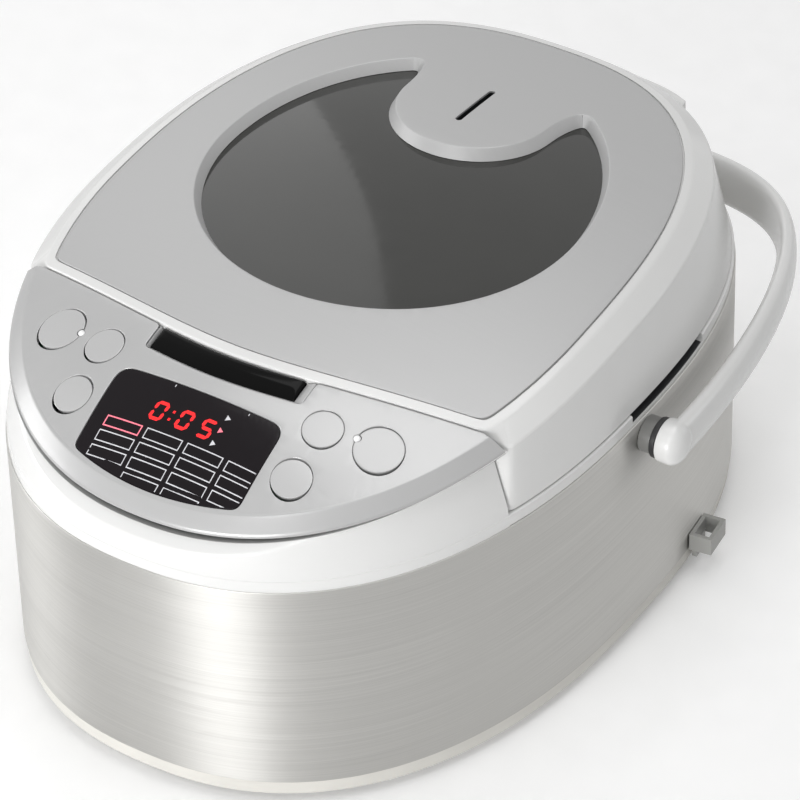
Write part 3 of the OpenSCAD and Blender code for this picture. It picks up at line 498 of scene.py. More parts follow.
# %% Camera
eye = bpy.data.cameras.new("camera")
eye.sensor_fit = "HORIZONTAL"
eye.sensor_width = 36
eye.lens = 224.5
eye.clip_end = 20
camera = placed("camera", eye)
camera.matrix_world = Matrix((
    (0.8407, -0.3172, 0.4390, 1.0010),
    (0.5410, 0.5282, -0.6544, -1.4827),
    (-0.0243, 0.7876, 0.6157, 1.4697),
    (0, 0, 0, 1),
))
bpy.context.scene.camera = camera
print("camera at", [round(v, 3) for v in camera.matrix_world.translation], "m")

# %% [markdown]
# ## The steel shell
# The shell is one sheet rolled to the egg and brushed all round, with a hemmed edge at the
# top and bottom. Six loops make it, and a box cuts the hole for the power inlet.

# %% Steel shell
STEEL_LOW, STEEL_TOP = 12, 119


def ring_wall(bm, profile):
    loft(bm, [at_z(egg_loop(inset(SHELL, d)), z) for d, z in profile], ring=True)


def box_tool(low, high, bevel=0):
    bm = bmesh.new()
    bmesh.ops.create_cube(bm, size=1)
    size = [b - a for a, b in zip(low, high)]
    middle = [(a + b) / 2 for a, b in zip(low, high)]
    bmesh.ops.scale(bm, vec=size, verts=bm.verts[:])
    bmesh.ops.translate(bm, vec=middle, verts=bm.verts[:])
    if bevel:
        bmesh.ops.bevel(bm, geom=bm.edges[:], offset=bevel, segments=3, profile=0.5,
                        affect="EDGES", material=-1)
    return to_object("tool", bm)


bm = bmesh.new()
ring_wall(bm, [(0.25, STEEL_LOW), (0, STEEL_LOW + 0.3), (0, STEEL_TOP - 0.3), (0.25, STEEL_TOP),
               (1, STEEL_TOP), (1, STEEL_LOW)])
shell = to_object("steel_shell_sheet", bm)
carve(shell, box_tool((-14.3, 164, 23.7), (14.3, 194, 44.3)))
finish_piece(reshade(shell), shell_steel, "base", ["steel_shell"])

# %% [markdown]
# ## Flat skins with rounded rims
# The plate, the panel, the display and the glass are thin sheets with holes. Filling
# between their outlines, cutting the fill along a grid and lifting it to the dome gives an
# even surface. Each outline is then extruded down its own profile to round the edge.

# %% The skin helper
def offset_loop(points, d):
    out = []
    for k, (x, y) in enumerate(points):
        (ax, ay), (bx, by) = points[k - 1], points[(k + 1) % len(points)]
        length = math.hypot(bx - ax, by - ay)
        out.append((x - (by - ay) / length * d, y + (bx - ax) / length * d))
    return out


def arc_points(x, y, r, start, end, steps):
    return [(x + r * math.cos(a), y + r * math.sin(a))
            for a in [start + k * (end - start) / steps for k in range(steps + 1)]]


def circle_loop(x, y, r, count=72):
    return arc_points(x, y, r, 0, math.tau, count)[:-1]


def resample(points, step):
    closed = points + points[:1]
    lengths = [math.dist(a, b) for a, b in zip(closed, closed[1:])]
    count = max(8, round(sum(lengths) / step))
    out, k, gone = [], 0, 0.0
    for n in range(count):
        want = n * sum(lengths) / count
        while gone + lengths[k] < want:
            gone += lengths[k]
            k += 1
        part = (want - gone) / lengths[k]
        out.append(tuple(a + (b - a) * part for a, b in zip(closed[k], closed[k + 1])))
    return out


def soft_corners(points, step=1.2, passes=3):
    points = resample(points, step)
    for _ in range(passes):
        after = points[1:] + points[:1]
        points = [tuple((a + 2 * b + c) / 4 for a, b, c in zip(points[k - 1], p, after[k]))
                  for k, p in enumerate(points)]
    return points


ROUND = [(1, 0), (0.62, 0.07), (0.29, 0.29), (0.07, 0.62), (0, 1)]


def rounded_rim(radius, depth):
    return [(a * radius, b * radius) for a, b in ROUND] + [(0, depth)]


def cut_in_grid(bm, grid):
    spans = [[v.co[axis] for v in bm.verts] for axis in (0, 1)]
    for axis, span in enumerate(spans):
        low, high = min(span), max(span)
        count = int((high - low) / grid) + 1
        for n in range(1, count):
            spot, way = [0, 0, 0], [0, 0, 0]
            spot[axis], way[axis] = low + n * (high - low) / count, 1
            bmesh.ops.bisect_plane(bm, geom=bm.verts[:] + bm.edges[:] + bm.faces[:],
                                   plane_co=spot, plane_no=way, dist=0.0001)


def connected(edges):
    groups, waiting = [], set(edges)
    while waiting:
        group, front = set(), [waiting.pop()]
        while front:
            edge = front.pop()
            group.add(edge)
            for vert in edge.verts:
                for other in vert.link_edges:
                    if other in waiting:
                        waiting.discard(other)
                        front.append(other)
        groups.append(list(group))
    return groups


def skin(bm, outline, holes, surface, thickness, rims, grid=6):
    starts = [offset_loop(points, rims[min(k, len(rims) - 1)][0][0] * (-1 if k else 1))
              for k, points in enumerate([outline] + holes)]
    edges = [e for start in starts for e in ring_edges(bm, loop_of(bm, at_z(start, 0)))]
    bmesh.ops.triangle_fill(bm, edges=edges, use_beauty=True, use_dissolve=False)
    cut_in_grid(bm, grid)
    sheet_top = bm.faces[:]
    border = [e for e in bm.edges if len(e.link_faces) == 1]
    normals = {}
    for edge in border:
        a, b = edge.verts
        way = Vector((b.co.y - a.co.y, a.co.x - b.co.x)).normalized()
        middle = edge.link_faces[0].calc_center_median()
        if way.dot(Vector((middle.x - a.co.x, middle.y - a.co.y))) > 0:
            way = -way
        for vert in edge.verts:
            normals.setdefault(vert, []).append(way)
    groups = connected(border)
    for vert in bm.verts:
        vert.co.z = surface(vert.co.x, vert.co.y)
    under = bmesh.ops.duplicate(bm, geom=sheet_top)["geom"]
    for item in under:
        if isinstance(item, bmesh.types.BMVert):
            item.co.z -= thickness
    bmesh.ops.reverse_faces(bm, faces=[f for f in under if isinstance(f, bmesh.types.BMFace)])
    for group in groups:
        some = next(iter(group)).verts[0].co
        near = [min(math.dist((some.x, some.y), p) for p in points) for points in starts]
        rim = rims[min(near.index(min(near)), len(rims) - 1)]
        home = {v: (v.co.copy(), normals[v]) for e in group for v in e.verts}
        current = group
        for out, drop in rim[1:] + [(rim[0][0], thickness)]:
            made = bmesh.ops.extrude_edge_only(bm, edges=current)["geom"]
            fresh = {g for g in made if isinstance(g, bmesh.types.BMVert)}
            carried = {}
            for old, (at, ways) in home.items():
                new = next((e.other_vert(old) for e in old.link_edges
                            if e.other_vert(old) in fresh), None)
                if new is None:
                    continue
                way = (ways[0] + ways[-1]).normalized()
                shift = (rim[0][0] - out) / max(0.6, way.dot(ways[0]))
                x, y = at.x + way.x * shift, at.y + way.y * shift
                last = out == rim[0][0] and drop == thickness
                new.co = (x, y, at.z - thickness if last else surface(x, y) - drop)
                carried[new] = (at, ways)
            home = carried
            current = [g for g in made if isinstance(g, bmesh.types.BMEdge)
                       and g.verts[0] in fresh and g.verts[1] in fresh]
    bmesh.ops.remove_doubles(bm, verts=bm.verts[:], dist=0.0005)


print("skin helper ready")

# %% [markdown]
# ## The lid's plate and window
# A brushed plate covers the lid, with a round window and a tongue that reaches over it from
# the rear. The plate's edge turns down all round the window in a slope, which is what
# catches the light along the tongue. The glass lies at the foot of that slope.

# %% Lid plate with its turned-down window edge
WINDOW = (90, -77, 117, 12, 2, 2)
TONGUE_Y, TONGUE_R = 78.5, 39.5
SLOT_Y, SLOT_HALF = 78, 14


def window_hole():
    well = inset(WINDOW, 3)
    tip = 44.5
    turn = math.acos(tip / well[0])
    arc = [egg_point(well, turn - k * (math.pi + 2 * turn) / 160) for k in range(161)]
    side = [(42.6, 96), (41, 90.5), (40, 85), (39.6, 80)]
    head = arc_points(0, TONGUE_Y, TONGUE_R, math.pi, math.tau, 60)
    path = arc + [(-x, y) for x, y in side] + head + side[::-1]
    return soft_corners(path[::-1], 1.1, 5)


def slot_loop(grow=0):
    r = 1.5 + grow
    return (arc_points(0, SLOT_Y + SLOT_HALF, r, 0, math.pi, 12)
            + arc_points(0, SLOT_Y - SLOT_HALF, r, math.pi, math.tau, 12))


plate_outline = soft_corners(lid_loop(inset(LIP, 4.5), -5.5), 2.0, 1)
turned_edge = [(3.6, 0), (3.36, 0.03), (3.12, 0.14), (2.9, 0.38), (0.2, 5.1), (0, 5.4),
               (0.7, 5.45), (3.3, 1.35)]
bm = bmesh.new()
skin(bm, plate_outline, [window_hole(), slot_loop()], dome_z, 1.15,
     [rounded_rim(0.35, 1.1), turned_edge, rounded_rim(0.3, 1.1)])
plate = to_object("lid_plate_sheet", bm)
finish_piece(plate, plate_metal, "lid", ["lid_plate"])

# %% Smoked window
bm = bmesh.new()
skin(bm, egg_loop(inset(WINDOW, -2), 160), [circle_loop(0, TONGUE_Y, 25)],
     lambda x, y: dome_z(x, y) - 5.6, 3, [rounded_rim(0.4, 2.9)])
window = to_object("lid_window_glass", bm)
finish_piece(window, smoked_glass, "lid", ["lid_window"])

# %% [markdown]
# A short tube under the slot lets the steam out. Its head follows the dome just below the
# tongue.

# %% Steam outlet under the tongue
STEAM_FOOT, STEAM_HEAD = 126.8, 3.4
bm = bmesh.new()
skin(bm, circle_loop(0, TONGUE_Y, 35.5), [slot_loop(0.5)], lambda x, y: dome_z(x, y) - 1.6, 2.6,
     [rounded_rim(0.4, 2.5)])
outer, inner = [circle_loop(0, TONGUE_Y, r, 96) for r in (24, 22)]
tube = loop_of(bm, at_z(outer, STEAM_FOOT))
up = next_loop(bm, tube, on_dome(outer, STEAM_HEAD))
inside = next_loop(bm, up, on_dome(inner, STEAM_HEAD))
down = next_loop(bm, inside, at_z(inner, STEAM_FOOT))
bmesh.ops.bridge_loops(bm, edges=ring_edges(bm, down) + ring_edges(bm, tube))
steam = to_object("steam_outlet", bm)
finish_piece(steam, dark_plastic, "lid", ["steam_valve"], even=True)

# %% [markdown]
# ## The lid's cover
# The white cover is a ring with a long profile: up the outer wall, over the shoulder to the
# lip, down to the seat of the plate, in to the window, and back along the underside. The
# pocket for the hinge is cut from a block that fills the rear wall.

# %% Lid cover
WALL_FOOT = inset(SHELL, 1.6)
PLATE_EDGE = inset(LIP, 3.7)
LID_Z = 125.5
HINGE_X, HINGE_Y, HINGE_Z = 25, 170, 149.4


def rim_drop(a, x, y):
    front = abs(math.atan2(math.sin(a + math.pi / 2), math.cos(a + math.pi / 2))) <= CORNER
    past = max(0, abs(x) - egg_half(LIP, y)) / 9
    return 3 + 4 * min(1, past) if front else 7


brow = lid_loop(SHOULDER, 0)
drops = [rim_drop(a, x, y) for a, (x, y) in zip(LID_TURNS, brow)]
inner_brow = lid_loop(inset(SHOULDER, 3.2), -2.6)
cover_rings = [
    at_z(lid_loop(WALL_FOOT, 0), LID_Z),
    [(x, y, dome_z(x, y) - d) for (x, y), d in zip(brow, drops)],
    on_dome(lid_loop(LIP, -0.35)),
    on_dome(lid_loop(PLATE_EDGE, -5)),
    on_dome(lid_loop(PLATE_EDGE, -5), 1.35),
    on_dome(lid_loop(inset(WINDOW, -1), 300), 1.35),
    on_dome(lid_loop(inset(WINDOW, 1), 300), 5),
    on_dome(lid_loop(inset(PLATE_EDGE, 8), -14), 5),
    [(x, y, dome_z(x, y) - d - 4) for (x, y), d in zip(inner_brow, drops)],
    at_z(lid_loop(inset(WALL_FOOT, 2.6), -2.6), LID_Z),
]
bm = bmesh.new()
sections = [[ring[k] for ring in cover_rings] for k in range(len(LID_TURNS))]
loft(bm, sections, ring=True, rounded={1: 1.1, 2: 0.9, 3: 0.3, 0: 0.4})
blank = to_object("lid_cover_blank", bm)
bm = bmesh.new()
loft(bm, [at_z(lid_loop(inset(SHOULDER, 1.5), -1), 163.8),
          at_z(lid_loop(inset(WALL_FOOT, 1), -1), LID_Z + 0.3)])
block = to_object("block", bm)
carve(block, box_tool((-61, 156.6, 110), (61, 230, 200)), "INTERSECT")
carve(blank, block, "UNION")
carve(blank, box_tool((-58.6, 159, 120), (58.6, 230, 161.4), 0.6))
carve(blank, box_tool((-9, -121, 150.5), (9, -113, 158.5), 0.5))
bm = in_millimetres(blank.data)
bpy.data.objects.remove(blank)
for side in (-1, 1):
    cylinder(bm, 6.2, 10, along_x(side * HINGE_X, HINGE_Y, HINGE_Z))
    bmesh.ops.create_cube(bm, size=1, matrix=Matrix.Translation((side * HINGE_X, 164, HINGE_Z))
                          @ Matrix.Diagonal((10, 12, 10, 1)))
finish_piece(to_object("lid_cover_shell", bm), body_white, "lid", ["lid_cover"],
             even=True)

# %% [markdown]
# ## The control panel
# The panel is a painted sheet that follows the dome, with holes for the keys, the lights,
# the display and the release bar. A bright sloping band runs round its front edge and
# turns down onto the collar.

# %% Control panel
BIG_KEY, SMALL_KEY = 22, 18
BUTTONS = {
    "start_button": (82, -129.7, BIG_KEY), "delay_button": (-82, -129.7, BIG_KEY),
    "hours_button": (-56.4, -133.4, SMALL_KEY), "minutes_button": (-56.4, -157.9, SMALL_KEY),
    "temperature_button": (56.4, -133.4, SMALL_KEY), "menu_button": (56.4, -157.9, SMALL_KEY),
}
LIGHTS = [(71.3, -129.9), (-71.3, -129.9)]


def meeting(egg, d):
    y = -96
    for _ in range(12):
        y = front_y(egg_half(egg, y), d)
    return y


def arc_point(egg, d, back, k, count):
    y = meeting(egg, d) - back
    a = -math.asin(((egg[3] - y) / (egg[3] - egg[1])) ** (egg[4] / 2))
    return egg_point(egg, -math.pi - a + k * (math.pi + 2 * a) / count)


def front_arc(egg, d, back, count):
    return [arc_point(egg, d, back, k, count) for k in range(count + 1)]


PANEL_EDGE = inset(LIP, -2.8)


def panel_z(x, y):
    centre = LIP[3]
    a = math.atan2(y - centre, x)
    low, high = 0, 400
    for _ in range(24):
        middle = (low + high) / 2
        u, v = middle * math.cos(a), centre + middle * math.sin(a)
        inside = LIP[1] < v < LIP[2] and abs(u) < egg_half(LIP, v)
        low, high = (middle, high) if inside else (low, middle)
    reach, edge = math.hypot(x, y - centre), low - 2.5
    if reach <= edge:
        return dome_z(x, y)
    at_edge, before = [dome_z(r * math.cos(a), centre + r * math.sin(a)) for r in (edge, edge - 3)]
    return at_edge + (at_edge - before) / 3 * (reach - edge) * 0.85


RECESS_LEFT, RECESS_RIGHT, RECESS_DEEP = 38.7, 42, 13


def panel_loop():
    arc = front_arc(PANEL_EDGE, 1.2, 0.8, 160)
    reach = arc[-1][0] * 0.985
    rear = [(reach - k * reach / 60, front_y(reach - k * reach / 60, 0.8)) for k in range(121)]
    right = [p for p in rear if p[0] > RECESS_RIGHT]
    left = [p for p in rear if p[0] < -RECESS_LEFT]
    xs = [RECESS_RIGHT - k * (RECESS_RIGHT + RECESS_LEFT) / 40 for k in range(41)]
    notch = [(xs[0], front_y(xs[0], 0.8)), *[(x, front_y(x, RECESS_DEEP)) for x in xs],
             (xs[-1], front_y(xs[-1], 0.8))]
    return soft_corners(arc + right + notch + left, 1.2, 2)


def key_hole(x, y, d, count=120):
    hole = d / 2 + 0.14
    points = []
    for k in range(count):
        a = k * math.tau / count
        reach = hole
        for u, v in LIGHTS:
            along = (u - x) * math.cos(a) + (v - y) * math.sin(a)
            off = (v - y) * math.cos(a) - (u - x) * math.sin(a)
            if along > 0 and abs(off) < 1.75 and math.dist((u, v), (x, y)) < hole:
                reach = max(reach, along + math.sqrt(1.75 ** 2 - off ** 2))
        points.append((x + reach * math.cos(a), y + reach * math.sin(a)))
    return points


def display_loop(grow=0):
    half, rear, r = 42 + grow, -140.2 + grow, 5 + grow
    centre, big = -55.5, 129.5 + grow
    corner = centre - math.sqrt(big ** 2 - half ** 2)
    a0, a1 = [math.atan2(corner - centre, x) for x in (-half, half)]
    front = arc_points(0, centre, big, a0, a1, 60)
    right = arc_points(half - r, rear - r, r, 0, math.pi / 2, 8)
    return soft_corners(front + right + [(-x, y) for x, y in right[::-1]], 1.0, 10)


bm = bmesh.new()
holes = [key_hole(x, y, d) for x, y, d in BUTTONS.values()] + [display_loop(0.3)]
rims = [rounded_rim(0.4, 2.3)] + [rounded_rim(0.3, 2.3)] * 6 + [rounded_rim(0.5, 2.3)]
skin(bm, panel_loop(), holes, panel_z, 2.4, rims, grid=5)
rows = [(2.2, 0.03), (2.7, 0.12), (3.2, 0.38), (3.6, 0.75), (4.0, 1.2), (6.2, 3.7), (8.2, 6.1),
        (8.75, 6.9), (8.75, 8.2), (6.6, 8.2), (2.2, 2.6)]
arcs = [front_arc(inset(LIP, -out), 1.2, 0.8, 120) for out, drop in rows]
edge_heights = [panel_z(*p) for p in arcs[0]]
foot_heights = [edge_z(p[1]) for p in arcs[0]]
band = [[(*arc[k], high + (foot - high) * drop / 8.2 - drop)
         for arc, (out, drop) in zip(arcs, rows)]
        for k, (high, foot) in enumerate(zip(edge_heights, foot_heights))]
loft(bm, band)
panel = to_object("control_panel_sheet", bm)
finish_piece(panel, panel_silver, "base", ["control_fascia"])

# %% [markdown]
# ## Keys and their lights
# Each key is a shallow dome turned on a lathe, laid on the slope of the panel and tipped a
# little, so that the ring of shadow round it is uneven. The two large keys have a notch in
# their edge, where a small white light pipe stands.

# %% Keys and light pipes
def panel_place(x, y):
    lean = math.atan((dome_z(x, y + 2) - dome_z(x, y - 2)) / 4)
    roll = math.atan((dome_z(x + 2, y) - dome_z(x - 2, y)) / 4)
    return (Matrix.Translation((x, y, dome_z(x, y))) @ Matrix.Rotation(-roll, 4, "Y")
            @ Matrix.Rotation(lean, 4, "X"))


def turned(bm, profile, steps=96):
    verts = [bm.verts.new((r, 0, z)) for r, z in profile]
    edges = [bm.edges.new(pair) for pair in zip(verts, verts[1:])]
    bmesh.ops.spin(bm, geom=verts + edges, cent=(0, 0, 0), axis=(0, 0, 1), angle=math.tau,
                   steps=steps, use_merge=True)
    bmesh.ops.remove_doubles(bm, verts=bm.verts[:], dist=0.0005)


KEY_LEAN = math.radians(-1.6)
for key, (x, y, d) in BUTTONS.items():
    r = d / 2
    bm = bmesh.new()
    dome = [(r * 0.95 * k / 8, 0.34 - 0.26 * (k / 8) ** 2) for k in range(9)]
    turned(bm, dome + [(r * 0.983, 0.03), (r * 0.996, -0.06), (r, -0.25), (r, -3), (2, -3),
                       (2, -6), (0, -6)])
    bmesh.ops.transform(bm, matrix=panel_place(x, y) @ Matrix.Rotation(KEY_LEAN, 4, "X"),
                        verts=bm.verts[:])
    piece = to_object(key + "_cap", bm)
    if d == BIG_KEY:
        bm = bmesh.new()
        cylinder(bm, 2, 40, panel_place(*next(p for p in LIGHTS if p[0] * x > 0)))
        carve(piece, to_object("tool", bm))
        reshade(piece)
    body = key.replace("button", "key")
    finish_piece(piece, button_silver, body, [key], even=True)

bm = bmesh.new()
for x, y in LIGHTS:
    part = bmesh.new()
    turned(part, [(0, 0.5), (0.8, 0.42), (1.3, 0.22), (1.6, -0.1), (1.65, -0.4), (1.65, -6),
                  (0, -6)], steps=40)
    merge_part(bm, part, panel_place(x, y))
finish_piece(to_object("light_pipes", bm), light_pipe, "base", ["indicator_lights"],
             even=True)

# %% [markdown]
# ## The display
# A black glass sheet lies just below the panel. The printing on it is a set of empty
# frames for the programmes, three pointers and a clock with plain digits, each a thin
# shape draped over the glass so that it follows its curve.

# %% Display glass and printing
FRAME_W, FRAME_H = 18.3, 4.7
COLUMNS, ROWS, LAST_ROW = [-34.6, -13.9, 6.8, 27.5], [-162.2, -168.6, -175.0], -181.3
bm = bmesh.new()
skin(bm, display_loop(), [], lambda x, y: panel_z(x, y) - 0.25, 2, [rounded_rim(0.2, 1.9)], grid=3)
finish_piece(to_object("display_glass_sheet", bm), display_glass, "base", ["display_window"])


def drape(bm, lift=0.22):
    long_edges = [e for e in bm.edges if e.calc_length() > 2]
    bmesh.ops.subdivide_edges(bm, edges=long_edges, cuts=6, use_grid_fill=True)
    made = bmesh.ops.extrude_face_region(bm, geom=bm.faces[:])["geom"]
    top = {v for v in made if isinstance(v, bmesh.types.BMVert)}
    for vert in bm.verts:
        vert.co.z = panel_z(vert.co.x, vert.co.y) - lift - (0 if vert in top else 0.08)


def patch(bm, x, y, w, h):
    place = Matrix.Translation((x, y, 0)) @ Matrix.Diagonal((w, h, 1, 1))
    return bmesh.ops.create_grid(bm, x_segments=1, y_segments=1, size=0.5, matrix=place)["verts"]


def pointer(bm, y):
    place = Matrix.Translation((17, y, 0)) @ Matrix.Rotation(-math.pi / 2, 4, "Z")
    bmesh.ops.create_circle(bm, cap_ends=True, segments=3, radius=1.5, matrix=place)


def frame_shape(bm, x, y, line=0.42):
    corners = set(patch(bm, x + FRAME_W / 2, y - FRAME_H / 2, FRAME_W, FRAME_H))
    face = next(f for f in bm.faces if all(v in corners for v in f.verts))
    bmesh.ops.inset_region(bm, faces=[face], thickness=line, use_boundary=True,
                           use_even_offset=True)
    bmesh.ops.delete(bm, geom=[face], context="FACES")


bm = bmesh.new()
for column, x in enumerate(COLUMNS):
    for row, y in enumerate(ROWS):
        if (column, row) != (0, 0):
            frame_shape(bm, x, y)
for x in COLUMNS[1:3]:
    frame_shape(bm, x, LAST_ROW)
for x in (-13.1, 24.5):
    patch(bm, x, -141.6, 0.4, 1.0)
for y in (-146.7, -158.7):
    pointer(bm, y)
drape(bm)
printing = to_object("display_printing", bm)
bm = bmesh.new()
loft(bm, [at_z(display_loop(-0.45), 120), at_z(display_loop(-0.45), 200)])
carve(printing, to_object("tool", bm), "INTERSECT")
finish_piece(printing, frame_white, "base", ())

bm = bmesh.new()
frame_shape(bm, COLUMNS[0], ROWS[0], 0.55)
pointer(bm, -152.7)
drape(bm)
finish_piece(to_object("display_lit_marks", bm), frame_pink, "base", ())

# %% [markdown]
# The clock shows its digits with seven bars each. A bar is a stretched six-sided plate with
# pointed ends, and the colon is two small squares. All of them lean a little to the right.

# %% Clock digits
SEGMENTS = {"0": "abcdef", "5": "acdfg"}
DIGIT_FOOT, DIGIT_SLANT = -158.6, 0.12
DIGIT_W, DIGIT_H, BAR_W = 6.5, 8.8, 1.45


def bar_plate(bm, x, y, length, upright):
    half, tip = length / 2, BAR_W / 2
    points = [(-half, 0), (tip - half, -tip), (half - tip, -tip),
              (half, 0), (half - tip, tip), (tip - half, tip)]
    made = bmesh.ops.create_circle(bm, cap_ends=True, segments=6, radius=0.5)["verts"]
    for vert, (u, v) in zip(made, points):
        vert.co = (x - v, y + u, 0) if upright else (x + u, y + v, 0)


def digit(bm, code, x, y):
    w, h, t = DIGIT_W, DIGIT_H, BAR_W
    flat, tall = w - t, h / 2 - t * 0.75
    low, high = h * 0.25 + t / 8, h * 0.75 - t / 8
    places = {"a": (w / 2, h - t / 2, flat, False), "g": (w / 2, h / 2, flat, False),
              "d": (w / 2, t / 2, flat, False), "f": (t / 2, high, tall, True),
              "b": (w - t / 2, high, tall, True), "e": (t / 2, low, tall, True),
              "c": (w - t / 2, low, tall, True)}
    for name in SEGMENTS[code]:
        u, v, length, upright = places[name]
        bar_plate(bm, x + u, y + v, length, upright)


bm = bmesh.new()
for code, x in (("0", -17.1), ("0", -3.9), ("5", 7.3)):
    digit(bm, code, x, DIGIT_FOOT)
for y in (-152.6, -156.2):
    patch(bm, -7.3, y, 1.1, 1.1)
for vert in bm.verts:
    vert.co.x += DIGIT_SLANT * (vert.co.y - DIGIT_FOOT)
drape(bm, 0.2)
finish_piece(to_object("clock_digits", bm), digit_red, "base", ())

# %% [markdown]
# ## The release bar
# The long black bar in front of the lid is pressed to open it. It is glossy, slightly
# crowned, with a soft front edge, and sits in a recess of the panel.

# %% Release bar
BAR_HALF, BAR_FRONT = 37, 11.5


def bar_section(x, sunk):
    back, front = 0.7, BAR_FRONT
    rise = [(back, 6), (back, 1.5), (back + 0.15, 0.95), (back + 0.55, 0.62)]
    crown = [(back + 1.2 + k * 0.72, 0.45 + 1.9 * max(0, (k - 3) / 9) ** 2) for k in range(13)]
    fall = [(front - 0.55, 2.75), (front - 0.15, 3.3), (front, 4), (front, 6)]
    return [(x, front_y(x, d), dome_z(x, front_y(x, d)) - max(depth, sunk))
            for d, depth in rise + crown + fall]


ends = [(36.95, 2.6), (36.8, 1.9), (36.45, 1.3), (35.9, 0.85), (35.2, 0.6)]
stations = [(-x, sunk) for x, sunk in ends] + [(x, 0) for x in range(-34, 35, 2)] + ends[::-1]
bm = bmesh.new()
loft(bm, [bar_section(x, sunk) for x, sunk in stations])
finish_piece(to_object("release_bar_cap", bm), gloss_black, "release", ["release_bar"])

# %% [markdown]
# A silver frame slopes down to the bar on three sides. Its left side is narrower than its
# right, as the recess is.

# %% Sloping frame round the bar
def bar_side(grow_side, grow_front, depth):
    front = BAR_FRONT + grow_front
    low, high = -BAR_HALF - grow_side * (RECESS_LEFT - 37.4) / 4.6, BAR_HALF + grow_side
    left, right = [[(x, front_y(x, 0.9 + k * (front - 0.9) / 8)) for k in range(9)]
                   for x in (low, high)]
    across = [(x, front_y(x, front)) for x in [low + k * (high - low) / 48 for k in range(1, 48)]]
    return [(x, y, dome_z(x, y) - depth) for x, y in left + across + right[::-1]]


bm = bmesh.new()
edges = [bar_side(0.4, 0.3, 4.5), bar_side(0.4, 0.3, 2.2), bar_side(0.8, 0.5, 1.9),
         bar_side(4.2, 0.95, 0.5), bar_side(4.6, 1.15, 0.7), bar_side(4.6, 1.15, 4.5)]
loft(bm, [[edge[k] for edge in edges] for k in range(len(edges[0]))])
finish_piece(to_object("release_bar_frame", bm), panel_silver, "base", ())

# %% [markdown]
# ## The collar
# The collar stands on the steel all round. In front of the lid it rises in a cheek that
# swells to a ridge and turns in under the panel's band. At each side a slot is cut for
# the fingers that lift the body.

# %% Collar
PIVOT_Z = 109
bm = bmesh.new()
ring_wall(bm, [(0.6, 119.3), (0.6, 124.4), (1.1, 125), (6, 125), (6, 119.2), (3.5, 119),
               (3.5, 111), (1.3, 111), (1.3, 119), (0.9, 119)])
collar = to_object("collar_rim", bm)
for side in (-1, 1):
    near, far = sorted((side * 124, side * 150))
    carve(collar, box_tool((near, -11, 120.6), (far, 56, 130), 1.2))
    bm = bmesh.new()
    cylinder(bm, 6, 24, along_x(side * 136, 0, PIVOT_Z), 64)
    carve(collar, to_object("tool", bm))
reshade(collar)

CHEEK = 120


def cheek_rows(d):
    rows = []
    for row in range(5):
        points = []
        for k in range(CHEEK + 1):
            ledge = math.sin(k * math.pi / CHEEK) ** 2
            outer = inset(SHELL, 0.55 + d)
            ridge = inset(SHELL, 2.2 + 5 * (1 - ledge) + d)
            inner = inset(SHOULDER, -0.2 + d)
            egg = (outer, inset(outer, 0.5), ridge, inner, inset(inner, 3.2))[row]
            x, y = arc_point(egg, 1.2, 0, k, CHEEK)
            brow_y = SHOULDER_ARC[k][1]
            top = edge_z(brow_y) - 7
            z = (119.05, 128, top - 1.2 - 4 * ledge, top - 0.6 - 1.4 * ledge,
                 top - 1.2 - 1.4 * ledge)[row]
            points.append((x, y, z - (0.0 if row < 2 else d * 0.3)))
        rows.append(points)
    return rows


SHOULDER_ARC = front_arc(SHOULDER, 1.2, 0, CHEEK)
outer_rows, inner_rows = cheek_rows(0), cheek_rows(2.4)
bm = bmesh.new()
sections = [[row[k] for row in outer_rows + inner_rows[::-1]] for k in range(CHEEK + 1)]
loft(bm, sections, rounded={2: 2.2, 1: 2.0, 3: 0.5})
cheek = to_object("cheek", bm)
bm = bmesh.new()
bm.from_mesh(collar.data)
bm.from_mesh(cheek.data)
bpy.data.objects.remove(collar)
bpy.data.objects.remove(cheek)
collar = to_object("collar_shell", bm, scale=1)
finish_piece(collar, body_white, "base", ["top_collar"], even=True)

# %% [markdown]
# A thin dark sheet follows each finger slot behind the wall. It is painted shade, so that the
# slots look dark inside.

# %% Painted shade in the grip slots: a dark sheet behind each slot
bm = bmesh.new()
for side in (-1, 1):
    sections = []
    for k in range(34):
        y = -10.6 + k * 2
        out, back = egg_half(inset(SHELL, 1.2), y), egg_half(inset(SHELL, 8.5), y)
        profile = [(out, 120.45), (out, 120.85), (back + 0.5, 120.85), (back + 0.5, 125.3),
                   (back, 125.3), (back, 120.45)]
        sections.append([(side * x, y, z) for x, z in profile][::side])
    loft(bm, sections)
# this dark sheet is painted shade standing for the shadow inside the slots
finish_piece(to_object("grip_slot_painted_shade", bm), dark_plastic, "base", ())

# %% [markdown]
# The deck is a flat sheet with a round mouth. A wall stands on it behind the panel, lower in
# the middle, where the release bar and the hook pass.

# %% Deck with the mouth for the bowl, and the wall behind the panel
bm = bmesh.new()
skin(bm, egg_loop(inset(SHELL, 6.3)), [circle_loop(0, WINDOW_Y, 114.5, 160)], lambda x, y: 121, 4,
     [rounded_rim(0.4, 3.9), rounded_rim(0.8, 3.9)], grid=12)
xs = [-112 + k * 4 for k in range(57)]
walls = []
for x in xs:
    outer, inner = front_y(x, 4.6), front_y(x, 2.6)
    top = dome_z(x, outer) - (17 if abs(x) < 42 else 3.6)
    walls.append([(x, outer, 120.5), (x, outer, top), (x, inner, top), (x, inner, 120.5)])
loft(bm, walls)
finish_piece(to_object("deck_with_mouth", bm), deck_grey, "base", ["bowl_deck"],
             even=True)

# %% [markdown]
# ## The carrying handle
# The bail is a thin, deep arm at each side that widens into a broad grip behind the body.
# Its sections follow one curve in the handle's plane, which droops a little when folded.
# The ends are domed buttons, with a flat face towards the body.

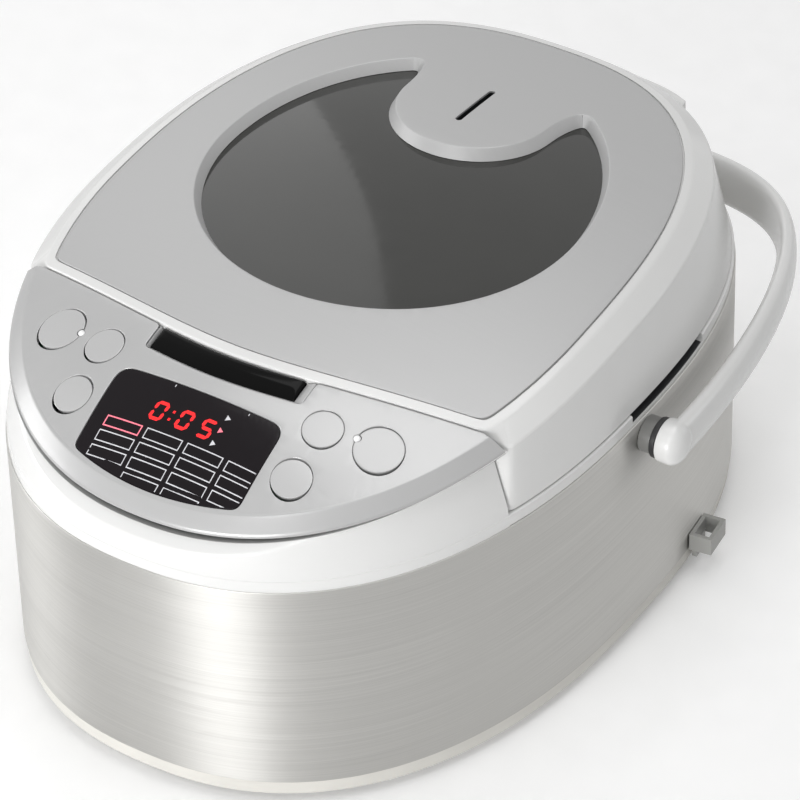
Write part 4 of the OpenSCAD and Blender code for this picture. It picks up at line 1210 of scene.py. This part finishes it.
# %% Carrying handle
DROOP = math.radians(-2.5)
ARM_X, ARM_FACE, REACH = 150.7, 145.1, 194.5
ARM_T, ARM_D, GRIP_T, GRIP_W = 9.8, 20, 9, 25
END_R, END_DOME = 10.25, 6.3


def bail(t):
    return (ARM_X * signed_power(math.cos(t), 0.4), REACH * max(0, math.sin(t)) ** 1.2)


def bail_section(t, points=32):
    x, r = bail(t)
    (ax, ar), (bx, br) = bail(max(0, t - 0.03)), bail(min(math.pi, t + 0.03))
    length = math.hypot(bx - ax, br - ar)
    nx, nr = (br - ar) / length, -(bx - ax) / length
    k = math.sin(t) ** 3
    across, tall = ARM_T + (GRIP_T - ARM_T) * k, ARM_D + (GRIP_W - ARM_D) * k
    out = []
    for j in range(points):
        a = j * math.tau / points
        w = signed_power(math.cos(a), 0.9) * across / 2
        h = signed_power(math.sin(a), 0.9) * tall / 2
        px, pr = x + nx * w, r + nr * w
        out.append((px, pr * math.cos(DROOP) - h * math.sin(DROOP),
                    PIVOT_Z + pr * math.sin(DROOP) + h * math.cos(DROOP)))
    return out


bm = bmesh.new()
turns = [math.pi * k / 144 for k in range(145)]
loft(bm, [bail_section(t) for t in turns])
rim = [(0, ARM_FACE), (9.2, ARM_FACE), (9.8, ARM_FACE + 0.2), (10.15, ARM_FACE + 0.6),
       (END_R, ARM_FACE + 1.2)]
dome = [(END_R * math.cos(a), ARM_X + END_DOME * math.sin(a))
        for a in [k * math.pi / 24 for k in range(13)]]
for side in (-1, 1):
    part = bmesh.new()
    turned(part, rim + dome, steps=72)
    merge_part(bm, part, Matrix.Translation((0, 0, PIVOT_Z))
               @ Matrix.Rotation(side * math.pi / 2, 4, "Y"))
handle = to_object("carry_handle_bail", bm)
finish_piece(handle, body_white, "handle", ["carry_handle"])

# %% [markdown]
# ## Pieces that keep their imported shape
# Small pieces with the right shape already only need soft edges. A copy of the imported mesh
# is welded, its flat faces are joined, and its sharp edges are bevelled.

# %% The softening helper
BEVEL_ANGLE = math.radians(40)


def softened(node, finish, bevel, slot):
    bm = in_millimetres(frame["nodes"][node].data)
    bmesh.ops.remove_doubles(bm, verts=bm.verts[:], dist=0.002)
    bmesh.ops.dissolve_limit(bm, angle_limit=math.radians(1), verts=bm.verts[:], edges=bm.edges[:])
    if bevel:
        sharp = [e for e in bm.edges
                 if len(e.link_faces) == 2 and e.calc_face_angle(0) > BEVEL_ANGLE]
        bmesh.ops.bevel(bm, geom=sharp, offset=bevel, segments=2, profile=0.5, affect="EDGES",
                        material=-1, clamp_overlap=True)
    body = next(b for b, nodes in frame["record"]["behaviour"]["bodies"].items() if node in nodes)
    finish_piece(to_object(node + "_finished", bm), finish, body, [node], even=True)


SOFTENED = [
    ("handle_bosses", boss_grey, 0.5, "grey_plastic"),
    ("pivot_washers", washer_black, 0.4, "black_rubber"),
    ("pivot_pins", bare_steel, 0, "screw_steel"),
    ("spoon_holder", holder_grey, 0.6, "grey_plastic"),
    ("inlet_socket", dark_plastic, 0.4, "dark_plastic"),
    ("hinge_tower", body_white, 0.7, "body_plastic"),
    ("hinge_pin", bare_steel, 0.3, "screw_steel"),
    ("hinge_spring", bare_steel, 0, "screw_steel"),
    ("rubber_feet", rubber, 0.4, "black_rubber"),
    ("base_screws", bare_steel, 0.2, "screw_steel"),
    ("base_tray", base_grey, 0.4, "base_plastic"),
    ("inner_chamber", chamber_metal, 0.3, "chamber_aluminium"),
    ("heating_plate", heater_metal, 0.8, "plate_aluminium"),
    ("sensor_plunger", bare_steel, 0.8, "plate_aluminium"),
    ("inner_lid", inner_lid_metal, 0.3, "plate_aluminium"),
    ("inner_glass", clear_glass, 0.4, "clear_glass"),
    ("lid_gasket", silicone, 0.3, "silicone"),
    ("lid_liner", deck_grey, 0.5, "body_plastic"),
    ("lid_striker", bare_steel, 0.2, "screw_steel"),
    ("latch_hook", dark_plastic, 0.4, "dark_plastic"),
    ("latch_guide", deck_grey, 0.3, "body_plastic"),
]
for row in SOFTENED:
    softened(*row)

# %% [markdown]
# The boards, the display module and two springs are hidden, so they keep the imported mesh.
# Their material slots take the finishes made above.

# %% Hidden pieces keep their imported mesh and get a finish
KEPT = {"power_board": board_green, "control_board": board_green, "display_module": dark_plastic,
        "release_spring": bare_steel, "sensor_spring": bare_steel}
for node, finish in KEPT.items():
    for holder in frame["nodes"][node].material_slots:
        holder.material = finish
print("kept as packed:", sorted(KEPT))

# %% [markdown]
# ## The cooking bowl
# The bowl is spun from sheet, so its profile is drawn once and turned. It has a round
# heel, a straight wall and a rolled flange that lies on the deck.

# %% Cooking bowl
heel, inner_heel = [arc_points(99, 44.3, r, -math.pi / 2, 0, 10) for r in (14, 12.4)]
flange_out = [(113, 121.1), (113.3, 121.35), (120.6, 121.35), (121.2, 121.7), (121.35, 122.2),
              (121.1, 122.7), (120.4, 122.9)]
flange_in = [(112, 122.9), (111.6, 122.6), (111.4, 122)]
bm = bmesh.new()
turned(bm, [(0, 30.3)] + heel + flange_out + flange_in + inner_heel[::-1] + [(0, 31.9)], steps=144)
bmesh.ops.translate(bm, vec=(0, WINDOW_Y, 0), verts=bm.verts[:])
finish_piece(to_object("cooking_bowl_spun", bm), bowl_coating, "base", ["cooking_bowl"])

# %% [markdown]
# ## Floor, world and lamps
# A pale floor keeps the shadow. The world is plain grey for light and plain white where the
# camera, a mirror or a glass looks at it. Broad lamps overhead and to the sides draw soft
# reflections on the gloss.

# %% Floor
bm = bmesh.new()
bmesh.ops.create_grid(bm, x_segments=8, y_segments=8, size=4)
floor = to_object("floor", bm, scale=1)
material, tree, shader, place = finish_base("floor_paper")
grain = noise(tree, place, 60, 3)
tone = two_tone(tree, spread(tree, grain.outputs["Fac"], 0, 1),
                (0.90, 0.90, 0.90, 1), (0.93, 0.93, 0.93, 1))
tree.links.new(tone, shader.inputs["Base Color"])
tune(shader, Roughness=0.8, Specular_IOR_Level=0.1, Emission_Color=(1, 1, 1, 1))
path = tree.nodes.new("ShaderNodeLightPath")
lift = add_node(tree, "ShaderNodeMath", operation="MULTIPLY")
lift.inputs[1].default_value = 0.16
tree.links.new(path.outputs["Is Camera Ray"], lift.inputs[0])
tree.links.new(lift.outputs[0], shader.inputs["Emission Strength"])
floor.data.materials.append(material)
print("floor of", [round(v, 1) for v in floor.dimensions[:2]], "m")

# %% World
world = bpy.data.worlds.new("studio")
bpy.context.scene.world = world
world.use_nodes = True
tree = world.node_tree
tree.nodes.clear()
out = tree.nodes.new("ShaderNodeOutputWorld")
light = add_node(tree, "ShaderNodeBackground", Color=(1, 1, 1, 1), Strength=0.38)
white = add_node(tree, "ShaderNodeBackground", Color=(1, 1, 1, 1), Strength=1.0)
path = tree.nodes.new("ShaderNodeLightPath")
seen = add_node(tree, "ShaderNodeMath", operation="MAXIMUM")
seen_too = add_node(tree, "ShaderNodeMath", operation="MAXIMUM")
tree.links.new(path.outputs["Is Camera Ray"], seen.inputs[0])
tree.links.new(path.outputs["Is Glossy Ray"], seen.inputs[1])
tree.links.new(seen.outputs[0], seen_too.inputs[0])
tree.links.new(path.outputs["Is Transmission Ray"], seen_too.inputs[1])
choose = tree.nodes.new("ShaderNodeMixShader")
for k, source in enumerate((seen_too, light, white)):
    tree.links.new(source.outputs[0], choose.inputs[k])
tree.links.new(choose.outputs[0], out.inputs[0])
print("world ready")

# %% Lamps
def lamp(name, where, aim, width, height, power):
    data = bpy.data.lights.new(name, "AREA")
    data.shape = "RECTANGLE"
    data.size, data.size_y = width, height
    data.energy = power
    item = placed(name, data)
    item.location = where
    item.rotation_euler = (Vector(aim) - Vector(where)).to_track_quat("-Z", "Y").to_euler()


lamp("overhead", (0.1, 0.2, 1.7), (0, 0, 0.1), 1.3, 1.0, 9)
lamp("front_low", (0.13, -1.6, 0.34), (0, 0, 0.08), 0.75, 0.6, 14)
lamp("front_high", (0.1, -1.0, 1.3), (0, -0.1, 0.15), 0.35, 0.35, 2)
lamp("left_side", (-1.5, -0.7, 0.4), (0, 0, 0.1), 0.8, 0.7, 7)
lamp("right_rear", (1.15, 1.2, 0.4), (0, 0, 0.1), 0.3, 0.7, 0.8)
lamp("rear_left", (-1.0, 0.82, 1.12), (0, 0, 0.17), 0.57, 1.3, 1.7)
bpy.context.scene.view_settings.view_transform = "Standard"
